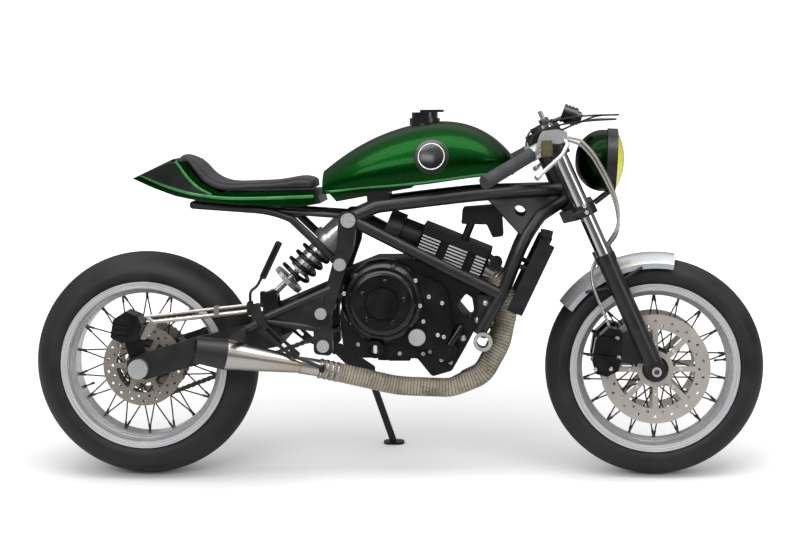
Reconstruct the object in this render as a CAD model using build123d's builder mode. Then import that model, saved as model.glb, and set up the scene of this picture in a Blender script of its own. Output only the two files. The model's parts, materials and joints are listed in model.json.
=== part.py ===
"""Café-racer motorcycle on its side stand, millimetres.

The motorcycle is modelled upright: +X forward, +Y to the rider's left, +Z up, X = 0 halfway
between the axles and Z = 0 at the ground.  The last step leans every piece onto the side stand.
"""
from build123d import *
from math import atan, cos, degrees, radians, sin, sqrt, tan
import os

os.makedirs("parts", exist_ok=True)

# ---- driving dimensions ------------------------------------------------------------------
WHEELBASE = 1410.0
LEAN = 8.5                  # degrees to the left when parked
FIT = 0.05                  # radial clearance of turned seats
SEAT_GAP = 0.3              # clearance of pieces that only rest on each other
RUN_GAP = 6.0               # clearance round what turns

REAR_TYRE_RADIUS = 312.0
REAR_CROWN = 95.0           # radius of the tyre's cross section at the tread
REAR_CROWN_HALF_ANGLE = 57.0
REAR_BEAD_Y = 70.0
FRONT_TYRE_RADIUS = 300.0
FRONT_CROWN = 62.0
FRONT_CROWN_HALF_ANGLE = 61.0
FRONT_BEAD_Y = 46.0
TYRE_WALL = 9.0
BEAD_RADIUS = 218.0         # 17 inch bead seat
RIM_RADIUS = 232.3          # outside of the rim flanges
RIM_FLANGE = 6.0
RIM_SKIN = 5.0
RIM_WELL_RADIUS = 203.0
SPOKES = 36
SPOKE_RADIUS = 2.0
NIPPLE_RADIUS = 3.2
NIPPLE_LENGTH = 18.0
NIPPLE_SHORT = 0.7          # a slanting nipple's corner still clears the rim

RAKE = 24.0
FORK_OFFSET = 30.0
LEG_Y = 97.0
FORK_TUBE_RADIUS = 20.5
SLIDER_RADIUS = 25.5
SLIDER_TOP = 347.0          # along the fork, from the front axle
LOWER_YOKE = 462.0
UPPER_YOKE = 690.0
YOKE_THICKNESS = 32.0
FORK_TOP = 734.0
STEM_RADIUS = 15.0
HEAD_TUBE_RADIUS = 27.0
HEAD_BORE = 17.0
HEAD_GAP = 3.0              # between the head tube and each yoke
AXLE_RADIUS = 10.0
AXLE_BORE = 7.4

DISC_THICKNESS = 5.0
DISC_HOLE = 3.8
FRONT_DISC_RADIUS = 150.0
FRONT_DISC_Y = 66.0
REAR_DISC_RADIUS = 112.0
REAR_DISC_Y = 76.0

CHAIN_Y = 101.0
CHAIN_HALF_WIDTH = 9.0
CHAIN_HALF_HEIGHT = 7.5
CHAIN_RUN_GAP = 2.0
REAR_SPROCKET_PITCH_RADIUS = 113.0
FRONT_SPROCKET_PITCH_RADIUS = 40.0
SPROCKET_THICKNESS = 7.0
OUTPUT_SHAFT_RADIUS = 12.0
FRONT_SPROCKET = (-135.0, 450.0)
PIVOT = (-203.0, 463.0)     # swingarm pivot, X and Z
PIVOT_BOLT_RADIUS = 8.0

FRAME_TUBE_RADIUS = 18.5
DIAGONAL_TUBE_RADIUS = 16.4
FRONT_TUBE_RADIUS = 17.4
FRAME_Y = 129.0             # middle of the side tubes beside the engine
COLUMN_IN = 112.0
COLUMN_OUT = 146.0
ARM_IN = 115.0              # swingarm side arms
ARM_OUT = 143.0
TRUSS_Y = 160.0             # footrest trusses
FRAME_CAPS = [(-126.0, 716.0, 20.0), (-150.0, 596.0, 17.0), (-198.0, 374.0, 17.0)]
SLIDER_CENTRE = (236.0, 386.0)  # crash bobbins at the feet of the front tubes
SLIDER_FACE = 152.0
SLIDER_BORE = 16.0

ENGINE_HALF_WIDTH = 100.0
HEAD_SLOPE = 22.0           # forward lean of the cylinders
HEAD_REAR = -105.0          # the cylinders' ends along their own slope
HEAD_FRONT = 93.0
HEAD_TOP = 66.0
HEAD_WIDTH = 196.0
FINS = 6
FIN_PITCH = 8.8
FIN_THICKNESS = 4.4
FIN_DEPTH = 12.0
FIN_CHANNELS = (-34.5, 44.5)    # between the three groups of fins
DOME_RADIUS = 116.0
CLUTCH_CENTRE = (-34.0, 494.0)
COVER_BOSSES = [(29.0, 94.0), (-73.0, 70.0), (-88.0, -60.0)]
STATOR_CENTRE = (8.0, 480.0)

HEADER_RADIUS = 23.5
SILENCER_RADIUS = 43.0
CONE_LENGTH = 206.0
CAP_LENGTH = 84.0
END_RADIUS = 35.0

CAP_X = 76.0
CAP_SEAT = 969.0
CAP_RADIUS = 42.0
FENDER_HALF_WIDTH = 68.0
FENDER_FRONT = 80.0         # degrees from straight ahead round the front axle
FENDER_REAR = 145.0
HOSE_RADIUS = 4.0
CABLE_RADIUS = 2.5

GRIP_RADIUS = 18.5
GRIP_START = 47.0           # from the bend of the bar
BAR_RADIUS = 11.0
MIRROR_X = 32.0             # threaded hole for a mirror, ahead of the bar's bend
MIRROR_Y = 196.0
POT_RADIUS = 16.0
MIRROR_DEPTH = 16.0
MIRROR_THREAD_RADIUS = 4.25

STAND_PIVOT = (-95.0, 140.0, 262.0)
STAND_SPLAY = 27.0          # out to the side
STAND_FORWARD = 14.0        # ahead of the pivot when it stands
STAND_RADIUS = 10.0
STAND_EYE = 17.0
STAND_EYE_HALF = 7.0
STAND_PIN_RADIUS = 6.0

# ---- places worked out from them ---------------------------------------------------------
REAR_AXLE = (-WHEELBASE / 2, 0.0, REAR_TYRE_RADIUS)
FRONT_AXLE = (WHEELBASE / 2, 0.0, FRONT_TYRE_RADIUS)
RAKE_SIN = sin(radians(RAKE))
RAKE_COS = cos(radians(RAKE))
STEER = Plane(
    origin=(
        FRONT_AXLE[0] - FORK_OFFSET * RAKE_COS,
        0,
        FRONT_AXLE[2] - FORK_OFFSET * RAKE_SIN,
    ),
    x_dir=(RAKE_COS, 0, RAKE_SIN),
    z_dir=(-RAKE_SIN, 0, RAKE_COS),
)
LEG_X = FORK_OFFSET
LEGS = [(LEG_X, -LEG_Y), (LEG_X, LEG_Y)]

# The tyres' crowns roll over by LEAN, and the bike drops a little onto them.
LEAN_DROP_REAR = (REAR_TYRE_RADIUS - REAR_CROWN) * cos(radians(LEAN)) + REAR_CROWN
LEAN_DROP_FRONT = (FRONT_TYRE_RADIUS - FRONT_CROWN) * cos(radians(LEAN)) + FRONT_CROWN
REAR_LIFT = LEAN_DROP_REAR - REAR_TYRE_RADIUS * cos(radians(LEAN))
FRONT_LIFT = LEAN_DROP_FRONT - FRONT_TYRE_RADIUS * cos(radians(LEAN))
PITCH = degrees(atan((REAR_LIFT - FRONT_LIFT) / WHEELBASE))
PARK = (
    Location((0, 0, (REAR_LIFT + FRONT_LIFT) / 2))
    * Location((0, 0, 0), (0, PITCH, 0))
    * Location((0, 0, 0), (-LEAN, 0, 0))
)


PIECES = {}
STAND_PLANE = Plane(
    origin=STAND_PIVOT,
    x_dir=(1, 0, 0),
    z_dir=(0, cos(radians(STAND_SPLAY)), sin(radians(STAND_SPLAY))),
)


def steer_point(forward, left, along):
    """A point given along the fork, as a Vector."""
    return STEER.from_local_coords(Vector(forward, left, along))


def finish(part, name):
    """Label a finished piece and lean it onto the stand."""
    parked = part.moved(PARK)
    parked.label = name
    PIECES[name] = parked


def write_pieces():
    """Set the origin on the ground under the middle of the whole box, and write every piece."""
    boxes = [piece.bounding_box() for piece in PIECES.values()]
    middle = [
        (min(box.min.X for box in boxes) + max(box.max.X for box in boxes)) / 2,
        (min(box.min.Y for box in boxes) + max(box.max.Y for box in boxes)) / 2,
    ]
    print(f"origin {middle[0]:.3f} {middle[1]:.3f}")
    for name, piece in PIECES.items():
        placed = piece.moved(Location((-middle[0], -middle[1], 0)))
        placed.label = name
        export_step(placed, f"parts/{name}.step")


# ---- small helpers -----------------------------------------------------------------------
def bar(start, end, radius, mode=Mode.ADD):
    """A round bar between two points."""
    along = Vector(*end) - Vector(*start)
    with BuildSketch(Plane(origin=Vector(*start), z_dir=along)) as section:
        Circle(radius)
    return extrude(section.sketch, amount=along.length, mode=mode)


def tube(points, bends, radius, bore=0.0, mode=Mode.ADD):
    """A tube along straight runs joined by arcs."""
    with BuildLine() as route:
        if len(points) > 2:
            FilletPolyline(*points, radius=bends)
        else:
            Line(*points)
    with BuildSketch(Plane(origin=route.line @ 0, z_dir=route.line % 0)) as section:
        Circle(radius)
        if bore:
            Circle(bore, mode=Mode.SUBTRACT)
    return sweep(section.sketch, path=route.line, mode=mode)


def slab(points, low, high, corner=0.0, mode=Mode.ADD):
    """A plate with an outline of X and Z points, from y = low to y = high."""
    with BuildSketch(Plane.XZ.offset(-high)) as outline:
        with BuildLine():
            FilletPolyline(*points, radius=corner, close=True)
        make_face()
    return extrude(outline.sketch, amount=high - low, mode=mode)


def drum(x, z, low, high, radius, bore=0.0, mode=Mode.ADD):
    """A round piece across the bike, from y = low to y = high."""
    with BuildSketch(Plane.XZ.offset(-high)) as section:
        with Locations((x, z)):
            Circle(radius)
            if bore:
                Circle(bore, mode=Mode.SUBTRACT)
    return extrude(section.sketch, amount=high - low, mode=mode)


def both_sides(low, high):
    """The same span of y on the left and on the right."""
    return [(low, high), (-high, -low)]


def wheel_plane(axle, angle=90.0):
    """Sketch plane whose x is the bike's y and whose y is the radius at an angle from +X."""
    turn = radians(angle)
    return Plane(origin=axle, x_dir=(0, 1, 0), z_dir=(sin(turn), 0, -cos(turn)))


# ---- wheels ------------------------------------------------------------------------------
def make_tyre(axle, radius, crown, half_angle, bead_y, name):
    """Slick tyre: an arc across the tread and a tangent arc down each side wall."""
    angle = radians(half_angle)
    shoulder = (crown * sin(angle), radius - crown + crown * cos(angle))
    foot = (bead_y, RIM_RADIUS + 0.5)
    with BuildPart() as tyre:
        with BuildSketch(wheel_plane(axle)) as section:
            with BuildLine() as outline:
                ThreePointArc((-shoulder[0], shoulder[1]), (0, radius), shoulder)
                wall = TangentArc(shoulder, foot, tangent=(cos(angle), -sin(angle)))
                Line(foot, (bead_y - 2, BEAD_RADIUS + FIT))
                Line((bead_y - 2, BEAD_RADIUS + FIT), (2 - bead_y, BEAD_RADIUS + FIT))
                Line((2 - bead_y, BEAD_RADIUS + FIT), (-foot[0], foot[1]))
                mirror(wall, about=Plane.YZ)
            make_face()
            with BuildLine():
                inner = crown - TYRE_WALL
                low = (inner * sin(angle), radius - crown + inner * cos(angle))
                top = (inner * sin(angle / 3), radius - crown + inner * cos(angle / 3))
                cheek = (bead_y - TYRE_WALL, RIM_RADIUS + 2)
                room = [top, low, cheek, (bead_y - 2 * TYRE_WALL, BEAD_RADIUS - 1)]
                Polyline(*room, *[(-y, r) for y, r in reversed(room)], close=True)
            make_face(mode=Mode.SUBTRACT)
        revolve(section.sketch, axis=Axis(axle, (0, 1, 0)))
    finish(tyre.part, name)


def rim_outline(bead_y):
    """Outer line of the rim from the left flange to the middle, as y and radius."""
    return [
        (bead_y + RIM_FLANGE, RIM_RADIUS),
        (bead_y, RIM_RADIUS),
        (bead_y, BEAD_RADIUS),
        (bead_y - 24, BEAD_RADIUS),
        (bead_y - 34, RIM_WELL_RADIUS),
    ]


def make_rim(axle, bead_y, name):
    """Polished rim with two flanges and a drop centre."""
    outer = rim_outline(bead_y + 0.3)
    inner = [
        (bead_y + RIM_FLANGE, BEAD_RADIUS - 4),
        (bead_y - 24, BEAD_RADIUS - RIM_SKIN - 3),
        (bead_y - 36, RIM_WELL_RADIUS - RIM_SKIN),
    ]
    half = outer + list(reversed([(-y, r) for y, r in outer]))
    back = [(-y, r) for y, r in inner] + list(reversed(inner))
    with BuildPart() as rim:
        with BuildSketch(wheel_plane(axle)) as section:
            with BuildLine():
                Polyline(*(half + back), close=True)
            make_face()
        revolve(section.sketch, axis=Axis(axle, (0, 1, 0)))
    finish(rim.part, name)


def make_hub(axle, flange_y, flange_radius, core_radius, half_length, seats, name):
    """Hub shell with two flanges and crossed spokes that end just under the rim."""
    reach = RIM_WELL_RADIUS - RIM_SKIN - SEAT_GAP
    with BuildPart() as hub:
        with BuildSketch(wheel_plane(axle)) as section:
            with BuildLine():
                Polyline(
                    (-half_length, AXLE_RADIUS + FIT),
                    (-half_length, core_radius * 0.72),
                    (-flange_y - 8, core_radius * 0.78),
                    (-flange_y - 4, flange_radius),
                    (-flange_y + 4, flange_radius),
                    (-flange_y + 14, core_radius),
                    (flange_y - 14, core_radius),
                    (flange_y - 4, flange_radius),
                    (flange_y + 4, flange_radius),
                    (flange_y + 8, core_radius * 0.78),
                    (half_length, core_radius * 0.72),
                    (half_length, AXLE_RADIUS + FIT),
                    close=True,
                )
            make_face()
        revolve(section.sketch, axis=Axis(axle, (0, 1, 0)))
        for y, radius, thickness in seats:
            with BuildSketch(Plane.XZ.offset(-y - thickness / 2)) as seat:
                with Locations((axle[0], axle[2])):
                    Circle(radius)
                    Circle(AXLE_RADIUS + FIT, mode=Mode.SUBTRACT)
            extrude(seat.sketch, amount=thickness)
        spokes = []
        pairs = SPOKES // 4
        for side in (-1, 1):
            for lay in (-1, 1):
                for number in range(pairs):
                    turn = 360 / pairs * number + (0 if side > 0 else 180 / pairs)
                    swing = 62 * lay
                    head = radians(turn + swing)
                    nipple = radians(turn + lay * 90 / pairs)
                    start = Vector(
                        axle[0] + (flange_radius - 6) * cos(head),
                        side * (flange_y + 2 * lay),
                        axle[2] + (flange_radius - 6) * sin(head),
                    )
                    end = Vector(
                        axle[0] + reach * cos(nipple),
                        side * 9,
                        axle[2] + reach * sin(nipple),
                    )
                    spokes.append((start, end))
        shafts = []
        for start, end in spokes:
            plane = Plane(origin=start, z_dir=end - start)
            length = (end - start).length - NIPPLE_SHORT
            shaft = Cylinder(SPOKE_RADIUS, length - 1, mode=Mode.PRIVATE)
            nipple = Cylinder(NIPPLE_RADIUS, NIPPLE_LENGTH, mode=Mode.PRIVATE)
            shafts.append(plane * Pos(0, 0, (length - 1) / 2) * shaft)
            shafts.append(plane * Pos(0, 0, length - NIPPLE_LENGTH / 2) * nipple)
        add(shafts)
    finish(hub.part, name)


def make_disc(axle, sides, disc_y, outer, inner, hub_radius, arms, holes, name):
    """Brake disc: a drilled ring on a carrier with arms, one on each of the given sides."""
    middle = (hub_radius + inner) / 2 + 6
    with BuildPart() as disc:
        for side in sides:
            with BuildSketch(Plane.XZ.offset(-side * disc_y - DISC_THICKNESS / 2)) as ring:
                with Locations((axle[0], axle[2])):
                    Circle(outer)
                    Circle(inner, mode=Mode.SUBTRACT)
                    Circle(hub_radius + 14)
                    Circle(hub_radius + FIT, mode=Mode.SUBTRACT)
                    with PolarLocations(middle, arms):
                        Rectangle(inner - hub_radius, 15)
                    for row, radius in enumerate(holes):
                        with PolarLocations(radius, 18, start_angle=10 * row):
                            Circle(DISC_HOLE, mode=Mode.SUBTRACT)
            extrude(ring.sketch, amount=DISC_THICKNESS)
    finish(disc.part, name)


def make_sprocket(centre, pitch_radius, bore, y, clearance, name):
    """Toothed wheel whose tips stay under the chain."""
    tips = pitch_radius - CHAIN_HALF_HEIGHT - clearance
    teeth = int(pitch_radius / 2.53)
    with BuildPart() as sprocket:
        with BuildSketch(Plane.XZ.offset(-y - SPROCKET_THICKNESS / 2)) as outline:
            with Locations((centre[0], centre[1])):
                Circle(tips)
            for number in range(teeth):
                place = Location((centre[0], centre[1], 0), (0, 0, 360 / teeth * number))
                with Locations(place * Location((tips + 1.5, 0, 0))):
                    Circle(3.6, mode=Mode.SUBTRACT)
            with Locations((centre[0], centre[1])):
                Circle(bore + FIT, mode=Mode.SUBTRACT)
            if pitch_radius > 80:
                for number in range(5):
                    place = Location((centre[0], centre[1], 0), (0, 0, 72 * number + 36))
                    with Locations(place * Location((pitch_radius * 0.64, 0, 0))):
                        Circle(14, mode=Mode.SUBTRACT)
        extrude(outline.sketch, amount=SPROCKET_THICKNESS)
    finish(sprocket.part, name)


# ---- chain -------------------------------------------------------------------------------
def make_chain():
    """One closed loop round both sprockets."""
    with BuildPart() as chain:
        with BuildSketch(Plane.XZ.offset(-CHAIN_Y - CHAIN_HALF_WIDTH)) as loop:
            for grow, mode in ((CHAIN_HALF_HEIGHT, Mode.ADD), (-CHAIN_HALF_HEIGHT, Mode.SUBTRACT)):
                rear = REAR_SPROCKET_PITCH_RADIUS + grow
                front = FRONT_SPROCKET_PITCH_RADIUS + grow
                run = Vector(FRONT_SPROCKET[0] - REAR_AXLE[0], FRONT_SPROCKET[1] - REAR_AXLE[2])
                tilt = degrees(atan(run.Y / run.X))
                spread = degrees(atan((rear - front) / sqrt(run.length**2 - (rear - front) ** 2)))
                points = []
                for angle in (90 - spread + tilt, -90 + spread + tilt):
                    turn = radians(angle)
                    points.append(
                        (
                            (REAR_AXLE[0] + rear * cos(turn), REAR_AXLE[2] + rear * sin(turn)),
                            (
                                FRONT_SPROCKET[0] + front * cos(turn),
                                FRONT_SPROCKET[1] + front * sin(turn),
                            ),
                        )
                    )
                back = radians(180 + tilt)
                nose = radians(tilt)
                with BuildLine():
                    Line(points[0][0], points[0][1])
                    ThreePointArc(
                        points[0][1],
                        (FRONT_SPROCKET[0] + front * cos(nose), FRONT_SPROCKET[1] + front * sin(nose)),
                        points[1][1],
                    )
                    Line(points[1][1], points[1][0])
                    ThreePointArc(
                        points[1][0],
                        (REAR_AXLE[0] + rear * cos(back), REAR_AXLE[2] + rear * sin(back)),
                        points[0][0],
                    )
                make_face(mode=mode)
        extrude(loop.sketch, amount=2 * CHAIN_HALF_WIDTH)
    finish(chain.part, "chain")


# ---- frame -------------------------------------------------------------------------------
def frame_tubes(side, grow=0.0, mode=Mode.ADD):
    """The tubes of one side; grow widens them when they are cut out of a neighbour."""
    y = side * FRAME_Y
    top = [
        steer_point(-6, side * 20, LOWER_YOKE + 92),
        (330, side * 68, 787),
        (216, side * 112, 782),
        (85, side * 122, 768),
        (-51, side * 124, 752),
        (-118, side * 127, 722),
    ]
    tube(top, [160, 200, 200, 60], FRAME_TUBE_RADIUS + grow, mode=mode)
    tube([(-112, y, 712), (114, y, 596), (286, y, 511)], [900], DIAGONAL_TUBE_RADIUS + grow, mode=mode)
    down = [
        steer_point(-8, side * 20, LOWER_YOKE + 60),
        (392, side * 80, 722),
        (346, y, 660),
        (292, y, 520),
        (224, y, 404),
    ]
    tube(down, [60, 160, 120], FRONT_TUBE_RADIUS + grow, mode=mode)


def gusset(side):
    """Head gusset in the plane of the upper and the front tube, with a round hole."""
    rear = Vector(236, side * 104, 784)
    foot = Vector(348, side * 122, 662)
    nose = steer_point(-21, side * 28, LOWER_YOKE + 75)
    plane = Plane(origin=rear, x_dir=foot - rear, z_dir=(foot - rear).cross(nose - rear))
    hole = plane.to_local_coords(Vector(339, side * 92, 738))
    corners = [plane.to_local_coords(point) for point in (rear, foot, nose)]
    with BuildSketch(plane.offset(-3)) as web:
        with BuildLine():
            Polyline(*[(corner.X, corner.Y) for corner in corners], close=True)
        make_face()
        with Locations((hole.X, hole.Y)):
            Circle(17, mode=Mode.SUBTRACT)
    extrude(web.sketch, amount=6)


def footrest_truss(side):
    """Triangle behind the column that carries the footrest plate."""
    y = side * TRUSS_Y
    bar((-176, side * 140, 530), (-362, y - side * 2, 450), 10)
    bar((-208, side * 140, 420), (-362, y - side * 2, 444), 9)
    slab([(-190, 518), (-350, 448), (-210, 426)], *sorted((side * 144, side * 150)))
    drum(-362, 447, *sorted((y - 9, y + 9)), 15)


def stand_bracket():
    """Side-stand bracket with its slanting pivot boss and pin."""
    slab([(-222, 352), (-172, 348), (-76, 282), (-76, 248), (-114, 244)], COLUMN_IN, COLUMN_IN + 8, corner=6)
    pin = STAND_PLANE.z_dir
    pivot = Vector(*STAND_PIVOT)
    bar(pivot - pin * 26, pivot - pin * (STAND_EYE_HALF + SEAT_GAP), STAND_EYE)
    bar(pivot - pin * 26, pivot + pin * (STAND_EYE_HALF + 5), STAND_PIN_RADIUS)
    bar(pivot + pin * (STAND_EYE_HALF + SEAT_GAP), pivot + pin * (STAND_EYE_HALF + 6), STAND_PIN_RADIUS + 4)


def make_main_frame():
    """Head tube, side tubes, rear columns, gussets and cross tubes, welded into one."""
    low = steer_point(0, 0, LOWER_YOKE + YOKE_THICKNESS + HEAD_GAP)
    high = steer_point(0, 0, UPPER_YOKE - HEAD_GAP)
    column = [
        (-100, 738), (-152, 738), (-158, 644), (-184, 549), (-224, 462), (-224, 352),
        (-172, 346), (-176, 455), (-146, 549), (-112, 644),
    ]
    hanger = [(222, 512), (264, 504), (248, 425), (222, 425)]
    with BuildPart() as frame:
        bar(low, high, HEAD_TUBE_RADIUS)
        for side in (-1, 1):
            frame_tubes(side)
            slab(column, *sorted((side * COLUMN_IN, side * COLUMN_OUT)), corner=14)
            slab(hanger, *sorted((side * COLUMN_IN, side * (COLUMN_IN + 8))), corner=6)
            drum(*SLIDER_CENTRE, *sorted((side * COLUMN_IN, side * SLIDER_FACE)), 23, mode=Mode.ADD)
            gusset(side)
            footrest_truss(side)
        bar((-126, -COLUMN_OUT, 716), (-126, COLUMN_OUT, 716), 16)
        bar((330, -68, 787), (330, 68, 787), 13)
        stand_bracket()
        bar(low, high, HEAD_BORE, mode=Mode.SUBTRACT)
        drum(PIVOT[0], PIVOT[1], -200, 200, PIVOT_BOLT_RADIUS + FIT, mode=Mode.SUBTRACT)
        for low, high in both_sides(COLUMN_OUT, 200):
            drum(PIVOT[0], PIVOT[1], low, high, 18, mode=Mode.SUBTRACT)
        drum(*SLIDER_CENTRE, -200, 200, SLIDER_BORE, mode=Mode.SUBTRACT)
    return frame.part


def make_frame_caps():
    """Turned aluminium caps in the frame's bosses and the rims of the two crash bobbins."""
    with BuildPart() as caps:
        for low, high in both_sides(COLUMN_OUT + SEAT_GAP, COLUMN_OUT + 9):
            for x, z, radius in FRAME_CAPS:
                drum(x, z, low, high, radius)
        for low, high in both_sides(SLIDER_FACE + SEAT_GAP, SLIDER_FACE + 8):
            drum(*SLIDER_CENTRE, low, high, 26, SLIDER_BORE)
    return caps.part


def make_subframe():
    """Rear rails under the seat with their struts."""
    with BuildPart() as subframe:
        for side in (-1, 1):
            rail = [
                (-560, side * 62, 755),
                (-340, side * 88, 740),
                (-286, side * 96, 718),
                (-170, side * 97, 606),
            ]
            tube(rail, [300, 40], 11)
            tube([(-336, side * 87, 740), (-150, side * 98, 726)], [], 8)
            bar((-170, side * 96, 606), (-170, side * (COLUMN_IN - SEAT_GAP), 606), 10)
            bar((-150, side * 98, 726), (-150, side * (COLUMN_IN - SEAT_GAP), 726), 7)
        bar((-560, -62, 755), (-560, 62, 755), 11)
        bar((-340, -88, 740), (-340, 88, 740), 9)
    return subframe.part


# ---- engine ------------------------------------------------------------------------------
PORT_Y = 50.0
HEAD = Plane(
    origin=(150, 0, 600),
    x_dir=(cos(radians(HEAD_SLOPE)), 0, -sin(radians(HEAD_SLOPE))),
    z_dir=(sin(radians(HEAD_SLOPE)), 0, cos(radians(HEAD_SLOPE))),
)
CASE_OUTLINE = [
    (-150, 570), (-60, 606), (56, 606), (190, 548), (226, 500), (222, 430), (188, 366), (150, 300),
    (96, 284), (56, 334), (-100, 336), (-148, 372), (-156, 450), (-142, 520),
]
CASE_HOLE = [(164, 478), (190, 512), (206, 500), (212, 462), (200, 434)]


def make_engine_case():
    """Crankcase, gearbox and sump as one closed block, with its mounts and output shaft."""
    x, z = FRONT_SPROCKET
    recess = CHAIN_Y - CHAIN_HALF_WIDTH - 6
    with BuildPart() as case:
        slab(CASE_OUTLINE, -ENGINE_HALF_WIDTH, ENGINE_HALF_WIDTH, corner=12)
        drum(x, z, recess, ENGINE_HALF_WIDTH + 1, 56, mode=Mode.SUBTRACT)
        slab([(x, z + 56), (x, z - 56), (x - 80, z - 70), (x - 80, z + 56)], recess, ENGINE_HALF_WIDTH + 1,
             mode=Mode.SUBTRACT)
        drum(x, z, recess - 10, CHAIN_Y + 9, OUTPUT_SHAFT_RADIUS)
        slab(CASE_HOLE, -ENGINE_HALF_WIDTH - 1, ENGINE_HALF_WIDTH + 1, corner=6, mode=Mode.SUBTRACT)
        for low, high in both_sides(70, COLUMN_IN - SEAT_GAP):
            drum(-156, 552, low, high, 15)
        for low, high in both_sides(88, COLUMN_IN - SEAT_GAP):
            drum(231, 468, low, high, 9)
            drum(231, 490, low, high, 9)
        bar((-40, 0, 340), (-40, 0, 318), 20)
        slab([(-30, 340), (40, 340), (34, 322), (-26, 322)], -60, 60, corner=4)
    return case.part


def make_cylinders():
    """Cylinders and head: a core, three groups of cooling fins on each side and a smooth band."""
    middle = (HEAD_REAR + HEAD_FRONT) / 2
    length = HEAD_FRONT - HEAD_REAR
    solids = [(-44, HEAD_TOP, FIN_DEPTH), (-44, -12, 0), (43, HEAD_TOP, 0)]
    with BuildPart() as cylinders:
        for low, high, inset in solids:
            with BuildSketch(HEAD.offset(low)) as block:
                with Locations((middle, 0)):
                    RectangleRounded(length - 2 * inset, HEAD_WIDTH - 2 * inset, 10)
            extrude(block.sketch, amount=high - low)
        for number in range(FINS):
            with BuildSketch(HEAD.offset(-8 + FIN_PITCH * number)) as fin:
                with Locations((middle, 0)):
                    RectangleRounded(length, HEAD_WIDTH, 10)
                for x in FIN_CHANNELS:
                    with Locations((x, -HEAD_WIDTH / 2), (x, HEAD_WIDTH / 2)):
                        Rectangle(25, 2 * FIN_DEPTH, mode=Mode.SUBTRACT)
            extrude(fin.sketch, amount=FIN_THICKNESS)
        for side in (-1, 1):
            port = HEAD.from_local_coords(Vector(HEAD_FRONT - 30, side * PORT_Y, 6))
            bar(port, port + HEAD.x_dir * 30, 31)
            inlet = HEAD.from_local_coords(Vector(HEAD_REAR + 30, side * 42, 28))
            bar(inlet, inlet - HEAD.x_dir * 30, 32)
        neck = HEAD.from_local_coords(Vector(HEAD_FRONT - 10, -86, 54))
        bar(neck, (272, -86, 597), 8)
        drum(272, 597, -96, -76, 17)
        slab([(x, z + SEAT_GAP) for x, z in CASE_OUTLINE], -120, 120, corner=12, mode=Mode.SUBTRACT)
    return cylinders.part


def make_coils():
    """Ignition coils: two plug caps on the head and the coil block above them."""
    with BuildPart() as coils:
        for side in (-1, 1):
            plug = HEAD.from_local_coords(Vector(12, side * 34, HEAD_TOP + SEAT_GAP))
            bar(plug, plug + HEAD.z_dir * 46, 11)
        slab([(176, 698), (180, 742), (262, 748), (288, 728), (292, 664), (262, 660), (246, 696)],
             -44, 44, corner=6)
    return coils.part


def make_clutch_cover():
    """Right engine cover: a stepped dome, the pump housing, the oil sight and the filler."""
    face = -ENGINE_HALF_WIDTH - SEAT_GAP
    x, z = CLUTCH_CENTRE
    with BuildPart() as cover:
        with BuildSketch(Plane(origin=(x, face, z), x_dir=(1, 0, 0), z_dir=(0, 0, -1))) as dome:
            with BuildLine():
                Polyline((0, 0), (DOME_RADIUS, 0), (DOME_RADIUS, 20))
                ThreePointArc((DOME_RADIUS, 20), (109, 40), (95, 54))
                Polyline((95, 54), (91, 54), (91, 60))
                ThreePointArc((91, 60), (86, 70), (76, 75))
                Polyline((76, 75), (73, 75), (73, 82), (46, 82), (46, 77), (42, 77), (42, 90), (0, 90), (0, 0))
            make_face()
        revolve(dome.sketch, axis=Axis((x, face, z), (0, 1, 0)))
        with BuildSketch(Plane.XZ.offset(-face)) as base:
            with Locations((x, z)):
                Circle(104)
            with Locations((96, 420)):
                Circle(56)
            with Locations((100, 506)):
                Circle(42)
            make_hull()
        extrude(base.sketch, amount=38)
        for dx, dz in COVER_BOSSES:
            drum(x + dx, z + dz, face - 47, face - 2, 14)
            drum(x + dx, z + dz, face - 48, face - 38, 8, mode=Mode.SUBTRACT)
        drum(-56, 365, face - 52, face - 2, 24)
        drum(-56, 365, face - 53, face - 44, 17, mode=Mode.SUBTRACT)
        drum(58, 398, face - 46, face - 2, 27)
        drum(132, 357, face - 26, face - 1, 33)
        drum(132, 357, face - 40, face - 20, 22)
        bar((138, face - 24, 366), (178, face - 14, 424), 11)
    return cover.part


def make_filler_disc():
    """Oil filler cap on the right engine cover."""
    face = -ENGINE_HALF_WIDTH - SEAT_GAP
    with BuildPart() as cap:
        drum(58, 398, face - 55, face - 46 - SEAT_GAP, 23)
        drum(58, 398, face - 58, face - 54, 19)
    return cap.part


def make_left_cover():
    """Left engine cover: generator cover and the sprocket guard behind it."""
    face = ENGINE_HALF_WIDTH + SEAT_GAP
    x, z = STATOR_CENTRE
    with BuildPart() as cover:
        drum(x, z, face, face + 34, 88)
        drum(x, z, face + 30, face + 58, 70)
        drum(104, 420, face, face + 30, 46)
    return cover.part


def make_throttle_bodies():
    """Two throttle bodies on the head's rear face with their air boxes, joined by their shaft."""
    back = HEAD_REAR - SEAT_GAP
    with BuildPart() as bodies:
        for side in (-1, 1):
            port = [HEAD.from_local_coords(Vector(back - reach, side * 42, 28)) for reach in (0, 54, 96)]
            bar(port[0], port[1], 27)
            bar(port[1], port[2], 36)
        shaft = [HEAD.from_local_coords(Vector(back - 30, side * 66, 28)) for side in (-1, 1)]
        bar(shaft[0], shaft[1], 9)
    return bodies.part


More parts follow.
